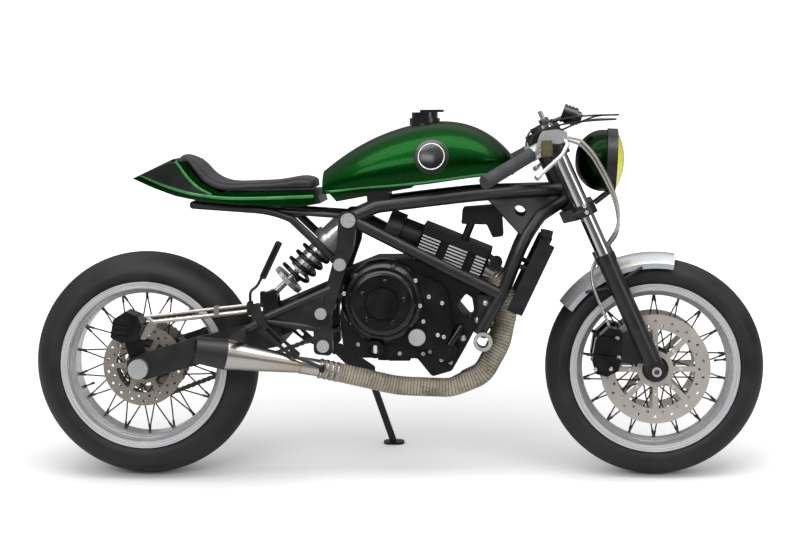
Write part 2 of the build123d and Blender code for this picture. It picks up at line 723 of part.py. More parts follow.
def make_radiator():
    """Radiator: a ribbed core between two end tanks and side plates, with its filler neck."""
    core = [(393, 650), (424, 640), (358, 498), (333, 510)]
    plate = [(391, 662), (430, 643), (341, 457), (300, 473)]
    upright = Plane(origin=(377, 0, 574), x_dir=(0.907, 0, -0.421), z_dir=(0, -1, 0))
    forward = Vector(0.933, 0, -0.36)
    with BuildPart() as radiator:
        with BuildSketch(upright.offset(-150)) as section:
            Rectangle(20, 148)
            with GridLocations(0, 9.4, 1, 16):
                Rectangle(27, 3)
        extrude(section.sketch, amount=300)
        for low, high in both_sides(142, 160):
            slab(core, low, high, corner=3)
        for low, high in both_sides(160, 166):
            slab(plate, low, high, corner=4)
        bar((400, -149, 640), (408, -149, 676), 10)
        bar((406, -149, 670), (410, -149, 688), 17)
        for side in (-1, 1):
            seat = Vector(320.8, side * FRAME_Y, 594.7) + forward * (FRONT_TUBE_RADIUS + SEAT_GAP)
            bar(seat, seat + forward * 34, 7)
    return radiator.part


# ---- exhaust -----------------------------------------------------------------------------
HEADERS_END = Vector(-262, -145, 322)
SILENCER_AXIS = (Vector(-466, -202, 361) - HEADERS_END).normalized()


def port_points(y):
    """The first two points of a header: square out of the cylinder head's front face."""
    return [HEAD.from_local_coords(Vector(HEAD_FRONT + reach, y, 6)) for reach in (SEAT_GAP, 46)]


def make_headers():
    """Two header pipes that join under the engine into one pipe to the silencer."""
    main = port_points(-PORT_Y) + [
        Vector(306, -60, 470), Vector(284, -76, 372), Vector(236, -88, 286), Vector(150, -92, 252),
        Vector(0, -94, 258), Vector(-150, -115, 296), HEADERS_END - SILENCER_AXIS * 42, HEADERS_END,
    ]
    other = port_points(PORT_Y) + [
        Vector(300, 48, 470), Vector(276, 20, 372), Vector(232, -24, 290), Vector(150, -60, 254),
    ]
    with BuildPart() as headers:
        tube(main, [60, 110, 110, 80, 110, 260, 260, 100], HEADER_RADIUS)
        tube(other, [60, 100, 80, 60], HEADER_RADIUS - 1)
    return headers.part


def make_silencer():
    """Steel cone and black end cap with an open mouth."""
    plane = Plane(origin=HEADERS_END + SILENCER_AXIS * SEAT_GAP, z_dir=SILENCER_AXIS)
    with BuildPart() as silencer:
        with BuildSketch(plane) as small:
            Circle(HEADER_RADIUS - 2)
        with BuildSketch(plane.offset(CONE_LENGTH)) as large:
            Circle(SILENCER_RADIUS)
        loft([small.sketch.face(), large.sketch.face()])
        with BuildSketch(plane.offset(CONE_LENGTH + CAP_LENGTH)) as end:
            Circle(END_RADIUS)
        loft([large.sketch.face(), end.sketch.face()])
        with BuildSketch(plane.offset(CONE_LENGTH + CAP_LENGTH)) as mouth:
            Circle(END_RADIUS - 6)
        extrude(mouth.sketch, amount=-60, mode=Mode.SUBTRACT)
    return silencer.part


# ---- body work ---------------------------------------------------------------------------
TANK_SECTIONS = [
    # x, lower edge z, top z, half width at the lower edge, greatest half width, its z
    (-200, 785, 846, 96, 104, 806),
    (-150, 788, 884, 108, 120, 824),
    (-86, 796, 923, 122, 137, 842),
    (31, 806, 967, 138, 154, 866),
    (132, 818, 979, 144, 160, 880),
    (226, 830, 957, 132, 148, 884),
    (290, 832, 912, 96, 118, 872),
    (322, 834, 876, 50, 78, 858),
]


def make_tank():
    """Teardrop tank lofted through cross sections, seated on the frame tubes."""
    with BuildPart() as tank:
        for x, low, top, foot, wide, waist in TANK_SECTIONS:
            with BuildSketch(Plane(origin=(x, 0, 0), x_dir=(0, 1, 0), z_dir=(1, 0, 0))):
                with BuildLine():
                    Line((-foot, low), (foot, low))
                    Spline(
                        (foot, low),
                        (wide, waist),
                        (wide * 0.68, waist + (top - waist) * 0.80),
                        (0, top),
                        (-wide * 0.68, waist + (top - waist) * 0.80),
                        (-wide, waist),
                        (-foot, low),
                    )
                make_face()
        loft()
        slab([(-188, 796), (-160, 765), (44, 801), (64, 815), (-100, 810)], -114, 114)
        slab([(-76, 758), (-24, 760), (-20, 812), (-80, 806)], -114, 114)
        for side in (-1, 1):
            frame_tubes(side, grow=SEAT_GAP, mode=Mode.SUBTRACT)
        with BuildSketch(Plane(origin=(CAP_X, 0, CAP_SEAT))) as land:
            Circle(CAP_RADIUS + 1)
        extrude(land.sketch, amount=40, mode=Mode.SUBTRACT)
    return tank.part


def make_filler_cap():
    """Round filler cap with its lever."""
    with BuildPart() as cap:
        with BuildSketch(Plane(origin=(CAP_X, 0, CAP_SEAT + SEAT_GAP))) as neck:
            Circle(CAP_RADIUS)
        extrude(neck.sketch, amount=988 - CAP_SEAT - SEAT_GAP)
        with BuildSketch(Plane(origin=(CAP_X, 0, 988))) as top:
            Circle(36)
        extrude(top.sketch, amount=16)
        with BuildSketch(Plane(origin=(CAP_X + 20, 0, 1004))) as lever:
            RectangleRounded(66, 24, 8)
        extrude(lever.sketch, amount=7)
    return cap.part


TAIL_SIDE = [
    (-736, 827), (-609, 883), (-578, 873), (-529, 818), (-480, 792), (-216, 795), (-204, 760),
    (-254, 752), (-429, 758), (-512, 765), (-603, 781), (-673, 803),
]
TAIL_PLAN = [(-738, 20), (-640, 78), (-560, 112), (-450, 124), (-300, 122), (-204, 106)]


def plan_block(half_plan, low, high, mode=Mode.INTERSECT):
    """A block with the given half plan, mirrored across the middle."""
    outline = half_plan + [(x, -y) for x, y in reversed(half_plan)]
    with BuildSketch(Plane.XY.offset(low)) as plan:
        with BuildLine():
            Polyline(*outline, close=True)
        make_face()
    return extrude(plan.sketch, amount=high - low, mode=mode)


def make_tail():
    """Tail cowl: the side outline and the plan cut from one block."""
    with BuildPart() as tail:
        slab(TAIL_SIDE, -140, 140)
        plan_block(TAIL_PLAN, 700, 950)
    return tail.part


def make_seat():
    """Seat pad with its rear hump, on top of the tail cowl."""
    gap = SEAT_GAP + 0.1
    side = [
        (-608, 883 + gap), (-591, 896), (-570, 892), (-549, 876), (-513, 838), (-478, 821), (-428, 817),
        (-336, 820), (-265, 832), (-229, 835), (-217, 830), (-216.5, 795 + gap), (-480, 792 + gap),
        (-529 + gap, 818 + 1.4 * gap), (-578 + gap, 873 + gap),
    ]
    plan = [(-612, 66), (-560, 100), (-450, 112), (-300, 110), (-208, 92)]
    with BuildPart() as seat:
        slab(side, -120, 120)
        plan_block(plan, 760, 920)
    return seat.part


# ---- rear suspension ---------------------------------------------------------------------
SHOCK_TOP = Vector(-140, 0, 700)
SHOCK_FOOT = Vector(-352, 0, 500)
SPRING_PITCH = 26.0
SPRING_RADIUS = 39.0
SPRING_WIRE = 6.0


def make_shock():
    """Single shock absorber: upper body, rod, lower eye."""
    along = (SHOCK_FOOT - SHOCK_TOP).normalized()
    with BuildPart() as shock:
        bar(SHOCK_TOP - along * 4.6, SHOCK_TOP + along * 14, 14)
        bar(SHOCK_TOP + along * 12, SHOCK_TOP + along * 62, 38)
        bar(SHOCK_TOP + along * 62, SHOCK_TOP + along * 84, 46)
        bar(SHOCK_TOP + along * 84, SHOCK_TOP + along * 190, 29)
        bar(SHOCK_TOP + along * 190, SHOCK_FOOT, 9)
        bar(SHOCK_TOP + along * 222.5, SHOCK_TOP + along * 236, 46)
        bar(SHOCK_FOOT - Vector(0, 16, 0), SHOCK_FOOT + Vector(0, 16, 0), 16)
        bar(SHOCK_FOOT - Vector(0, 17, 0), SHOCK_FOOT + Vector(0, 17, 0), 6 + FIT, mode=Mode.SUBTRACT)
    return shock.part


def make_spring():
    """Coil spring round the shock absorber, between its two seats."""
    along = (SHOCK_FOOT - SHOCK_TOP).normalized()
    start = SHOCK_TOP + along * (84 + SPRING_WIRE + SEAT_GAP)
    height = 222.5 - 84 - 2 * (SPRING_WIRE + SEAT_GAP)
    with BuildPart() as spring:
        with BuildLine() as path:
            Helix(SPRING_PITCH, height, SPRING_RADIUS, center=start, direction=along)
        with BuildSketch(Plane(origin=path.line @ 0, z_dir=path.line % 0)) as wire:
            Circle(SPRING_WIRE)
        sweep(wire.sketch, path=path.line, is_frenet=True)
    return spring.part


def make_swingarm():
    """Swingarm: pivot tube, cross box, shock bracket and two side arms with the axle lugs."""
    x, z = PIVOT
    tail_x, tail_z = REAR_AXLE[0], REAR_AXLE[2]
    web = CHAIN_Y - CHAIN_HALF_WIDTH - 6
    with BuildPart() as arm:
        drum(x, z, -COLUMN_IN + 4, web, 21)
        slab([(x + 4, z - 20), (x - 2, z + 20), (-376, 430), (-376, 374)], -COLUMN_IN + 4, web, corner=4)
        slab([(-312, 374), (-312, 430), (-376, 424), (-376, 374)], -ARM_OUT, ARM_OUT, corner=4)
        beam = [
            (-312, 374), (-316, 432), (-372, 440), (-551, 396), (tail_x + 9, tail_z + 40),
            (tail_x - 33, tail_z + 22), (tail_x - 33, tail_z - 20), (tail_x + 19, tail_z - 30),
            (-537, 324), (-376, 362),
        ]
        for low, high in both_sides(ARM_IN, ARM_OUT):
            slab(beam, low, high, corner=8)
        slab([(-326, 420), (-378, 420), (-376, 506), (-338, 518)], 17, 27, corner=6)
        slab([(-326, 420), (-378, 420), (-376, 506), (-338, 518)], -27, -17, corner=6)
        drum(SHOCK_FOOT.X, SHOCK_FOOT.Z, -30, 30, 6)
        drum(x, z, -200, 200, PIVOT_BOLT_RADIUS + FIT, mode=Mode.SUBTRACT)
        drum(REAR_AXLE[0], REAR_AXLE[2], -200, 200, AXLE_RADIUS + FIT, mode=Mode.SUBTRACT)
    return arm.part


def make_pivot_bolt():
    """Swingarm pivot bolt through both frame columns."""
    with BuildPart() as bolt:
        drum(PIVOT[0], PIVOT[1], -COLUMN_OUT - 4, COLUMN_OUT + 4, PIVOT_BOLT_RADIUS)
        drum(PIVOT[0], PIVOT[1], -COLUMN_OUT - 12, -COLUMN_OUT - SEAT_GAP, 16)
        drum(PIVOT[0], PIVOT[1], COLUMN_OUT + SEAT_GAP, COLUMN_OUT + 12, 16)
    return bolt.part


def make_rear_axle():
    """Rear axle with its end caps."""
    x, z = REAR_AXLE[0], REAR_AXLE[2]
    with BuildPart() as axle:
        drum(x, z, -ARM_OUT - 10, ARM_OUT + 10, AXLE_RADIUS)
        drum(x, z, -ARM_OUT - 20, -ARM_OUT - SEAT_GAP, 27)
        drum(x, z, ARM_OUT + SEAT_GAP, ARM_OUT + 18, 20)
    return axle.part


def make_rear_brake():
    """Ribbed rear caliper over the disc, with its carrier on the axle."""
    x, z = REAR_AXLE[0], REAR_AXLE[2]
    outline = [(-81, 84), (-71, 134), (-37, 156), (-3, 142), (8, 112), (-6, 78), (-47, 68)]
    carrier = [(-23, -12), (21, -16), (25, 18), (-7, 92), (-47, 84)]
    slot = DISC_THICKNESS / 2 + 5.5
    with BuildPart() as brake:
        slab([(x + dx, z + dz) for dx, dz in outline], -ARM_IN - 16, -REAR_DISC_Y + 22, corner=8)
        drum(x, z, -REAR_DISC_Y - slot, -REAR_DISC_Y + slot, REAR_DISC_RADIUS + 6, mode=Mode.SUBTRACT)
        for rise in (92, 106, 120):
            groove = [(x - 90, z + rise), (x - 30, z + rise - 6), (x - 30, z + rise - 2), (x - 90, z + rise + 4)]
            slab(groove, -ARM_IN - 20, -ARM_IN - 10, mode=Mode.SUBTRACT)
        slab([(x + dx, z + dz) for dx, dz in carrier], -ARM_IN + 2, -ARM_IN + 10, corner=5)
        drum(x, z, -200, -50, AXLE_RADIUS + FIT, mode=Mode.SUBTRACT)
    return brake.part


def make_torque_rods():
    """Link on the rear caliper and the two rods from it to the footrest plate."""
    x, z = REAR_AXLE[0], REAR_AXLE[2]
    y = -ARM_IN - 16 - SEAT_GAP
    link = [(x + 4, z + 82), (x + 17, z + 78), (x + 53, z + 122), (x + 46, z + 136), (x + 34, z + 136)]
    with BuildPart() as rods:
        slab(link, y - 8, y, corner=3)
        bar((x + 41, y - 6, z + 128), (RODS_X - 1.4, y - 6, 468), 6.5)
        bar((x + 41, y - 6, z + 128), (x + 22, y - 6, z + 143), 5)
        bar((x + 22, y - 6, z + 143), (RODS_X - 1.4, y - 6, 486), 4.5)
        slab([(-496, 455), (-482, 457), (-482, 485), (-496, 484)], y - 14, y + 2, corner=3)
    return rods.part


# ---- foot controls -----------------------------------------------------------------------
RODS_X = -404.0             # where the torque rods meet the footrest plate


def make_footrests():
    """Rearset plates with their pegs and levers, left and right, bolted to the frame's trusses."""
    inner = TRUSS_Y + 9 + SEAT_GAP
    plate = [(-389, 496), (-366, 488), (-350, 440), (-256, 357), (-270, 339), (-388, 430)]
    window = [(-352, 424), (-344, 428), (-284, 369), (-290, 362)]
    clevis = [(RODS_X, 458), (RODS_X + 12, 458), (RODS_X + 14, 496), (RODS_X, 496)]
    with BuildPart() as rests:
        for side in (-1, 1):
            slab(plate, *sorted((side * inner, side * (inner + 8))), corner=6)
            slab(window, *sorted((side * (inner - 1), side * (inner + 9))), corner=3, mode=Mode.SUBTRACT)
            drum(-371, 441, *sorted((side * inner, side * (inner + 14))), 12)
            bar((-371, side * (inner + 12), 441), (-407, side * (inner + 12), 420), 11)
            bar((-407, side * inner, 420), (-407, side * (inner + 76), 418), 12)
            drum(-396, 484, *sorted((side * 122, side * (inner + 4))), 7)
            slab(clevis, *sorted((side * 122, side * 147)), corner=3)
            bar((-268, side * (inner + 4), 348), (-196, side * (inner + 6), 318), 5)
            bar((-196, side * (inner - 2), 318), (-196, side * (inner + 40), 318), 8)
    return rests.part


def make_rear_reservoir():
    """Slim rear brake reservoir in its frame, with the hose down to the footrest plate."""
    frame = [(-374, 560), (-326, 660), (-310, 652), (-358, 552)]
    window = [(-364, 565), (-325, 648), (-320, 645), (-360, 562)]
    with BuildPart() as reservoir:
        slab(frame, -118, -100, corner=5)
        slab(window, -119, -112, corner=2, mode=Mode.SUBTRACT)
        tube([(-366, -109, 562), (-380, -112, 536), (-397, -134, 522), (-397, -134, 496.3)], [16, 16], 4)
    return reservoir.part


# ---- front end ---------------------------------------------------------------------------
def make_yokes():
    """Upper and lower yoke clamped on the fork tubes, joined by the steering stem."""
    with BuildPart() as yokes:
        for height in (LOWER_YOKE, UPPER_YOKE):
            with BuildSketch(STEER.offset(height)) as outline:
                with Locations(*LEGS):
                    Circle(33)
                Circle(36)
                make_hull()
            extrude(outline.sketch, amount=YOKE_THICKNESS)
        for side in (-1, 1):
            ear = steer_point(-4, side * (LEG_Y + 25), LOWER_YOKE + YOKE_THICKNESS / 2)
            bar(ear, ear + STEER.x_dir * 44, 9)
        for height in (LOWER_YOKE, UPPER_YOKE):
            with BuildSketch(STEER.offset(height - 1)) as bores:
                with Locations(*LEGS):
                    Circle(FORK_TUBE_RADIUS + FIT)
            extrude(bores.sketch, amount=YOKE_THICKNESS + 2, mode=Mode.SUBTRACT)
        bar(steer_point(0, 0, LOWER_YOKE + 10), steer_point(0, 0, UPPER_YOKE + YOKE_THICKNESS + 14), STEM_RADIUS)
        seat = LOWER_YOKE + YOKE_THICKNESS
        bar(steer_point(0, 0, seat - 1), steer_point(0, 0, seat + HEAD_GAP - SEAT_GAP), HEAD_TUBE_RADIUS - 3)
        bar(steer_point(0, 0, seat), steer_point(0, 0, seat + 16), HEAD_BORE - FIT)
        bar(steer_point(0, 0, UPPER_YOKE - 16), steer_point(0, 0, UPPER_YOKE), HEAD_BORE - FIT)
    return yokes.part


def make_fork_tubes():
    """The two chromed fork tubes with their caps."""
    with BuildPart() as tubes:
        with BuildSketch(STEER.offset(SLIDER_TOP - 40)) as section:
            with Locations(*LEGS):
                Circle(FORK_TUBE_RADIUS)
        extrude(section.sketch, amount=FORK_TOP - SLIDER_TOP + 40)
        with BuildSketch(STEER.offset(FORK_TOP)) as cap:
            with Locations(*LEGS):
                RegularPolygon(14, 6)
        extrude(cap.sketch, amount=14)
        with BuildSketch(STEER.offset(FORK_TOP + 14)) as stud:
            with Locations(*LEGS):
                Circle(6)
        extrude(stud.sketch, amount=22)
    return tubes.part


SLIDER_LUG = [(-93.7, 102), (-41, 120), (-13, 60), (-5, 20), (-65, 18), (-93.7, 22)]
CALIPER_GROOVE = [(-180, 0), (-90, -14), (-90, -9), (-180, 5)]
CALIPER_OUTLINE = [
    (-94, 112), (-129, 118), (-164, 84), (-173, 30), (-165, -8), (-133, -16), (-101, 0), (-94, 40),
]


def make_sliders():
    """The two fork sliders with the axle lugs and the caliper lugs."""
    axle_x, axle_z = FRONT_AXLE[0], FRONT_AXLE[2]
    with BuildPart() as sliders:
        with BuildSketch(STEER.offset(-22)) as body:
            with Locations(*LEGS):
                Circle(SLIDER_RADIUS)
        extrude(body.sketch, amount=SLIDER_TOP + 22)
        with BuildSketch(STEER.offset(SLIDER_TOP - 22)) as collar:
            with Locations(*LEGS):
                Circle(SLIDER_RADIUS + 3)
        extrude(collar.sketch, amount=22)
        for low, high in both_sides(LEG_Y - 26, LEG_Y + 26):
            drum(FRONT_AXLE[0], FRONT_AXLE[2], low, high, 27)
        for side in (-1, 1):
            y = side * (FENDER_HALF_WIDTH + 4 + SEAT_GAP)
            bar((axle_x - 102, side * 78, 528), (axle_x - 190, y, 512), 4)
            bar((axle_x - 105, side * 78, 536), (axle_x - 37, y, 580), 4)
            lug = [(axle_x + dx, axle_z + dz) for dx, dz in SLIDER_LUG]
            slab(lug, *sorted((side * 82, side * 98)), corner=3)
        with BuildSketch(STEER.offset(SLIDER_TOP - 41)) as bores:
            with Locations(*LEGS):
                Circle(FORK_TUBE_RADIUS + FIT)
        extrude(bores.sketch, amount=60, mode=Mode.SUBTRACT)
        drum(FRONT_AXLE[0], FRONT_AXLE[2], -200, 200, AXLE_RADIUS + FIT, mode=Mode.SUBTRACT)
    return sliders.part


def make_front_axle():
    """Hollow front axle with a flanged right end."""
    x, z = FRONT_AXLE[0], FRONT_AXLE[2]
    with BuildPart() as axle:
        drum(x, z, -LEG_Y - 30, LEG_Y + 30, AXLE_RADIUS, AXLE_BORE)
        drum(x, z, -LEG_Y - 34, -LEG_Y - 26 - SEAT_GAP, 13, AXLE_BORE)
        drum(x, z, LEG_Y + 26 + SEAT_GAP, LEG_Y + 34, 13, AXLE_BORE)
    return axle.part


HEADLAMP = Plane(
    origin=steer_point(LEG_X + 122.8, 0, LOWER_YOKE + 104),
    x_dir=(0, 1, 0),
    z_dir=(cos(radians(3)), 0, -sin(radians(3))),
)
LAMP_RADIUS = 89.0
LENS_FRONT = 36.0
LENS_CURVE = 157.0


def make_headlamp_shell():
    """Rounded lamp bucket behind the bezel."""
    with BuildPart() as shell:
        with BuildSketch(Plane(origin=HEADLAMP.origin, x_dir=HEADLAMP.z_dir, z_dir=(0, -1, 0))) as half:
            with BuildLine():
                Line((-14, 0), (-14, LAMP_RADIUS - 5))
                Spline((-14, LAMP_RADIUS - 5), (-52, 78), (-86, 48), (-97, 0))
                Line((-97, 0), (-14, 0))
            make_face()
        revolve(half.sketch, axis=Axis(HEADLAMP.origin, HEADLAMP.z_dir))
    return shell.part


def make_headlamp_ring():
    """Lamp bezel and the brackets that carry the lamp from the lower yoke."""
    with BuildPart() as ring:
        with BuildSketch(HEADLAMP.offset(-14 + SEAT_GAP)) as bezel:
            Circle(LAMP_RADIUS)
            Circle(LAMP_RADIUS - 8, mode=Mode.SUBTRACT)
        extrude(bezel.sketch, amount=28)
        with BuildSketch(HEADLAMP.offset(-14 + SEAT_GAP)) as back:
            Circle(LAMP_RADIUS)
            Circle(LAMP_RADIUS - 20, mode=Mode.SUBTRACT)
        extrude(back.sketch, amount=4)
        foot = HEADLAMP.origin - Vector(3, 0, LAMP_RADIUS - 7)
        for side in (-1, 1):
            bar(steer_point(LEG_X + 33 + 1.8, side * 30, LOWER_YOKE + 18), foot + Vector(0, side * 30, 0), 6)
    return ring.part


def make_headlamp_lens():
    """Domed yellow lens: a thin dish that bulges out of the bezel."""
    edge = LAMP_RADIUS - 8 - SEAT_GAP
    rim = LENS_FRONT - LENS_CURVE + sqrt(LENS_CURVE**2 - edge**2)
    half = LENS_FRONT - LENS_CURVE + sqrt(LENS_CURVE**2 - (edge / 2) ** 2)
    with BuildPart() as lens:
        with BuildSketch(Plane(origin=HEADLAMP.origin, x_dir=HEADLAMP.z_dir, z_dir=(0, -1, 0))) as profile:
            with BuildLine():
                Line((-9, 0), (-9, edge))
                Line((-9, edge), (rim, edge))
                ThreePointArc((rim, edge), (half, edge / 2), (LENS_FRONT, 0))
                Line((LENS_FRONT, 0), (-9, 0))
            make_face()
        revolve(profile.sketch, axis=Axis(HEADLAMP.origin, HEADLAMP.z_dir))
    return lens.part


def bar_points(side):
    """The handlebar's corners: in its clamp, at the bend and at the tip."""
    return [
        steer_point(LEG_X, side * LEG_Y, UPPER_YOKE - 34),
        steer_point(-5, side * 172, UPPER_YOKE - 9),
        steer_point(-173, side * 318, UPPER_YOKE - 25),
    ]


def handlebar(side, grow=0.0, mode=Mode.ADD):
    """One bent bar; grow widens it when it is cut out of what clamps it."""
    tube(bar_points(side), [40], BAR_RADIUS + grow, mode=mode)


def make_handlebars():
    """Clip-on bars clamped under the upper yoke."""
    with BuildPart() as bars:
        for side in (-1, 1):
            with BuildSketch(STEER.offset(UPPER_YOKE - 50)) as clamp:
                with Locations((LEG_X, side * LEG_Y)):
                    Circle(31)
            extrude(clamp.sketch, amount=34)
            handlebar(side)
            with BuildSketch(STEER.offset(UPPER_YOKE - 52)) as bore:
                with Locations((LEG_X, side * LEG_Y)):
                    Circle(FORK_TUBE_RADIUS + FIT)
            extrude(bore.sketch, amount=40, mode=Mode.SUBTRACT)
    return bars.part


def make_grips():
    """Rubber grips on the bar ends."""
    with BuildPart() as grips:
        for side in (-1, 1):
            corners = bar_points(side)
            along = (corners[2] - corners[1]).normalized()
            bar(corners[1] + along * GRIP_START, corners[2] + along * 6, GRIP_RADIUS)
            handlebar(side, grow=FIT, mode=Mode.SUBTRACT)
    return grips.part


def make_fender():
    """Front mudguard arched over the tyre, with side skirts."""
    half = FENDER_HALF_WIDTH
    with BuildPart() as fender:
        with BuildSketch(wheel_plane(FRONT_AXLE, FENDER_FRONT)) as section:
            with BuildLine():
                Line((-half, 276), (-half, 290))
                ThreePointArc((-half, 290), (0, 317), (half, 290))
                Line((half, 290), (half, 276))
                Line((half, 276), (half - 2.5, 276))
                Line((half - 2.5, 276), (half - 2.5, 289))
                ThreePointArc((half - 2.5, 289), (0, 314.5), (2.5 - half, 289))
                Line((2.5 - half, 289), (2.5 - half, 276))
                Line((2.5 - half, 276), (-half, 276))
            make_face()
        revolve(section.sketch, axis=Axis(FRONT_AXLE, (0, -1, 0)), revolution_arc=FENDER_REAR - FENDER_FRONT)
    return fender.part


def make_front_calipers():
    """Two ribbed front calipers, each astride its disc behind the fork leg."""
    outline = [(FRONT_AXLE[0] + dx, FRONT_AXLE[2] + dz) for dx, dz in CALIPER_OUTLINE]
    slot = DISC_THICKNESS / 2 + 5.5
    with BuildPart() as calipers:
        for side in (-1, 1):
            slab(outline, *sorted((side * (FRONT_DISC_Y - 20), side * (FRONT_DISC_Y + 40))), corner=8)
            outer = sorted((side * (FRONT_DISC_Y + 38), side * (FRONT_DISC_Y + 46)))
            drum(FRONT_AXLE[0] - 137, FRONT_AXLE[2] + 76, *outer, 22)
            drum(FRONT_AXLE[0] - 142, FRONT_AXLE[2] + 24, *outer, 22)
            for rise in (-2, 48, 100):
                groove = [(FRONT_AXLE[0] + dx, FRONT_AXLE[2] + rise + dz) for dx, dz in CALIPER_GROOVE]
                cut = sorted((side * (FRONT_DISC_Y + 35), side * (FRONT_DISC_Y + 60)))
                slab(groove, *cut, mode=Mode.SUBTRACT)
            y = side * FRONT_DISC_Y
            drum(FRONT_AXLE[0], FRONT_AXLE[2], y - slot, y + slot, FRONT_DISC_RADIUS + 6, mode=Mode.SUBTRACT)
    return calipers.part


def make_lever(side):
    """Hand lever with its cylinder and clamp on the bar; the ball end is at the tip."""
    bend, tip = bar_points(side)[1:]
    along = (tip - bend).normalized()
    out = Vector(0, side, 0)
    body = [(-18, 0), (-6, 36), (2, 46), (40, 50), (66, 44), (69, 18), (44, 12), (16, 14)]
    mirror_seat = Vector(bend.X + MIRROR_X, side * MIRROR_Y, bend.Z + 52)
    with BuildPart() as lever:
        bar(bend + along * 15, bend + along * (GRIP_START - 1), 20)
        slab([(bend.X + dx, bend.Z + dz) for dx, dz in body], *sorted((side * 178, side * 214)), corner=4)
        elbow = bend + Vector(52, 0, -16) + out * 78
        end = bend + Vector(-13, 0, -72) + out * 134
        points = [bend + Vector(56, 0, 26) + out * 28, bend + Vector(68, 0, 12) + out * 54, elbow, end]
        tube(points, [16, 40], 5.5)
        bar(end - (end - elbow).normalized() * 9, end + (end - elbow).normalized() * 5, 8)
        handlebar(side, grow=FIT, mode=Mode.SUBTRACT)
        bar(mirror_seat, mirror_seat - Vector(0, 0, MIRROR_DEPTH + 6), MIRROR_THREAD_RADIUS, mode=Mode.SUBTRACT)
    return lever.part


def make_fluid_pot():
    """Brake fluid pot beside the brake lever's cylinder."""
    bend = bar_points(-1)[1]
    place = Vector(bend.X + 12, -214 - SEAT_GAP - POT_RADIUS, bend.Z)
    with BuildPart() as pot:
        bar(place - Vector(0, 0, 20), place + Vector(0, 0, 14), POT_RADIUS)
        bar(place + Vector(0, 0, 13), place + Vector(0, 0, 22), POT_RADIUS - 2)
    return pot.part


def make_gauge():
    """Ribbed round gauge on a small bracket in front of the upper yoke."""
    top = UPPER_YOKE + YOKE_THICKNESS + SEAT_GAP
    middle = steer_point(100, 0, UPPER_YOKE + 38)
    along = (STEER.x_dir - STEER.z_dir * 0.96).normalized()
    with BuildPart() as gauge:
        bar(steer_point(42, 0, top), steer_point(42, 0, top + 16), 12)
        bar(steer_point(42, 0, top + 9), middle, 6)
        bar(middle - along * 20, middle + along * 20, 24)
        for reach in (-19, -9, 1, 11):
            bar(middle + along * reach, middle + along * (reach + 6), 26)
        bar(middle + along * 20, middle + along * 30, 19)
        bar(middle + along * 30, middle + along * 35, 14)
    return gauge.part


def cord(points, radius):
    """A hose along its route: arcs of 0.45 of the shorter run over the tangent of half the turn."""
    corners = [Vector(*point) for point in points]
    bends = []
    for before, here, after in zip(corners, corners[1:], corners[2:]):
        turn = radians((here - before).get_angle(after - here))
        bends.append(0.45 * min((here - before).length, (after - here).length) / tan(turn / 2))
    tube(points, bends, radius)
    return bends


def ahead(points):
    """Points given as distance ahead of the front axle, y and z."""
    return [(FRONT_AXLE[0] + dx, y, z) for dx, y, z in points]


def make_brake_hose():
    """Braided hoses from the brake lever to the two front calipers."""
    right = ahead([
        (-239, -196, 937), (-207, -190, 930), (-173, -176, 896), (-143, -160, 846), (-117, -144, 792),
        (-102, -130, 736), (-105, -108, 690), (-123, -78, 656), (-149, -56, 620), (-175, -68, 578),
        (-171, -90, 528), (-149, -98, 474), (-127, -96, 423),
    ])
    left = ahead([
        (-239, -184, 928), (-207, -176, 918), (-175, -162, 884), (-147, -146, 836), (-122, -128, 786),
        (-106, -106, 736), (-100, -70, 694), (-104, -30, 664), (-116, 14, 642), (-138, 50, 612),
        (-163, 72, 570), (-171, 90, 528), (-149, 98, 474), (-127, 96, 423),
    ])
    with BuildPart() as hose:
        bends = cord(right, HOSE_RADIUS) + cord(left, HOSE_RADIUS)
    print("brake hose radii", [round(bend) for bend in bends])
    return hose.part


def make_cables():
    """Throttle cable pair: from the grip, in a loop over the lamp and back to the upper yoke."""
    low = ahead([
        (-341, -180, 919), (-336, -172, 938), (-312, -166, 955), (-268, -154, 968), (-214, -122, 976),
        (-164, -92, 980), (-108, -90, 982), (-108, -32, 982), (-168, -32, 982), (-208.6, -32, 973.3),
        (-254.3, -32, 953),
    ])
    high = ahead([
        (-352, -186, 914), (-347, -174, 948), (-314, -168, 970), (-266, -156, 983), (-212, -130, 991),
        (-160, -108, 994), (-102, -106, 994), (-102, -48, 994), (-160, -48, 992), (-208.6, -50, 973.3),
        (-254.3, -50, 953),
    ])
    with BuildPart() as cables:
        bends = cord(low, CABLE_RADIUS) + cord(high, CABLE_RADIUS)
    print("throttle cable radii", [round(bend) for bend in bends])
    return cables.part


def make_side_stand():
    """Side stand: eye on the slanting pin, leg, and foot flat on the ground."""
    pin = STAND_PLANE.z_dir
    pivot = Vector(*STAND_PIVOT)
    lean = radians(STAND_FORWARD)
    leg = STAND_PLANE.x_dir * sin(lean) + STAND_PLANE.y_dir * cos(lean)
    ground = Plane(PARK.inverse())
    reach = (ground.origin - pivot).dot(ground.z_dir) / leg.dot(ground.z_dir)
    tip = pivot + leg * reach
    with BuildPart() as stand:
        bar(pivot - pin * STAND_EYE_HALF, pivot + pin * STAND_EYE_HALF, STAND_EYE)
        bar(pivot, pivot + leg * 34, STAND_EYE_HALF - 0.5)
        bar(pivot + leg * 28, tip - leg * 12, STAND_RADIUS)
        with BuildSketch(Plane(origin=tip, x_dir=(1, 0, 0), z_dir=ground.z_dir)) as foot:
            SlotCenterToCenter(26, 34)
        extrude(foot.sketch, amount=7)
        bar(tip - leg * 30, tip - leg * 9, STAND_RADIUS)
        bar(pivot - pin * 30, pivot + pin * 30, STAND_PIN_RADIUS + FIT, mode=Mode.SUBTRACT)
    return stand.part


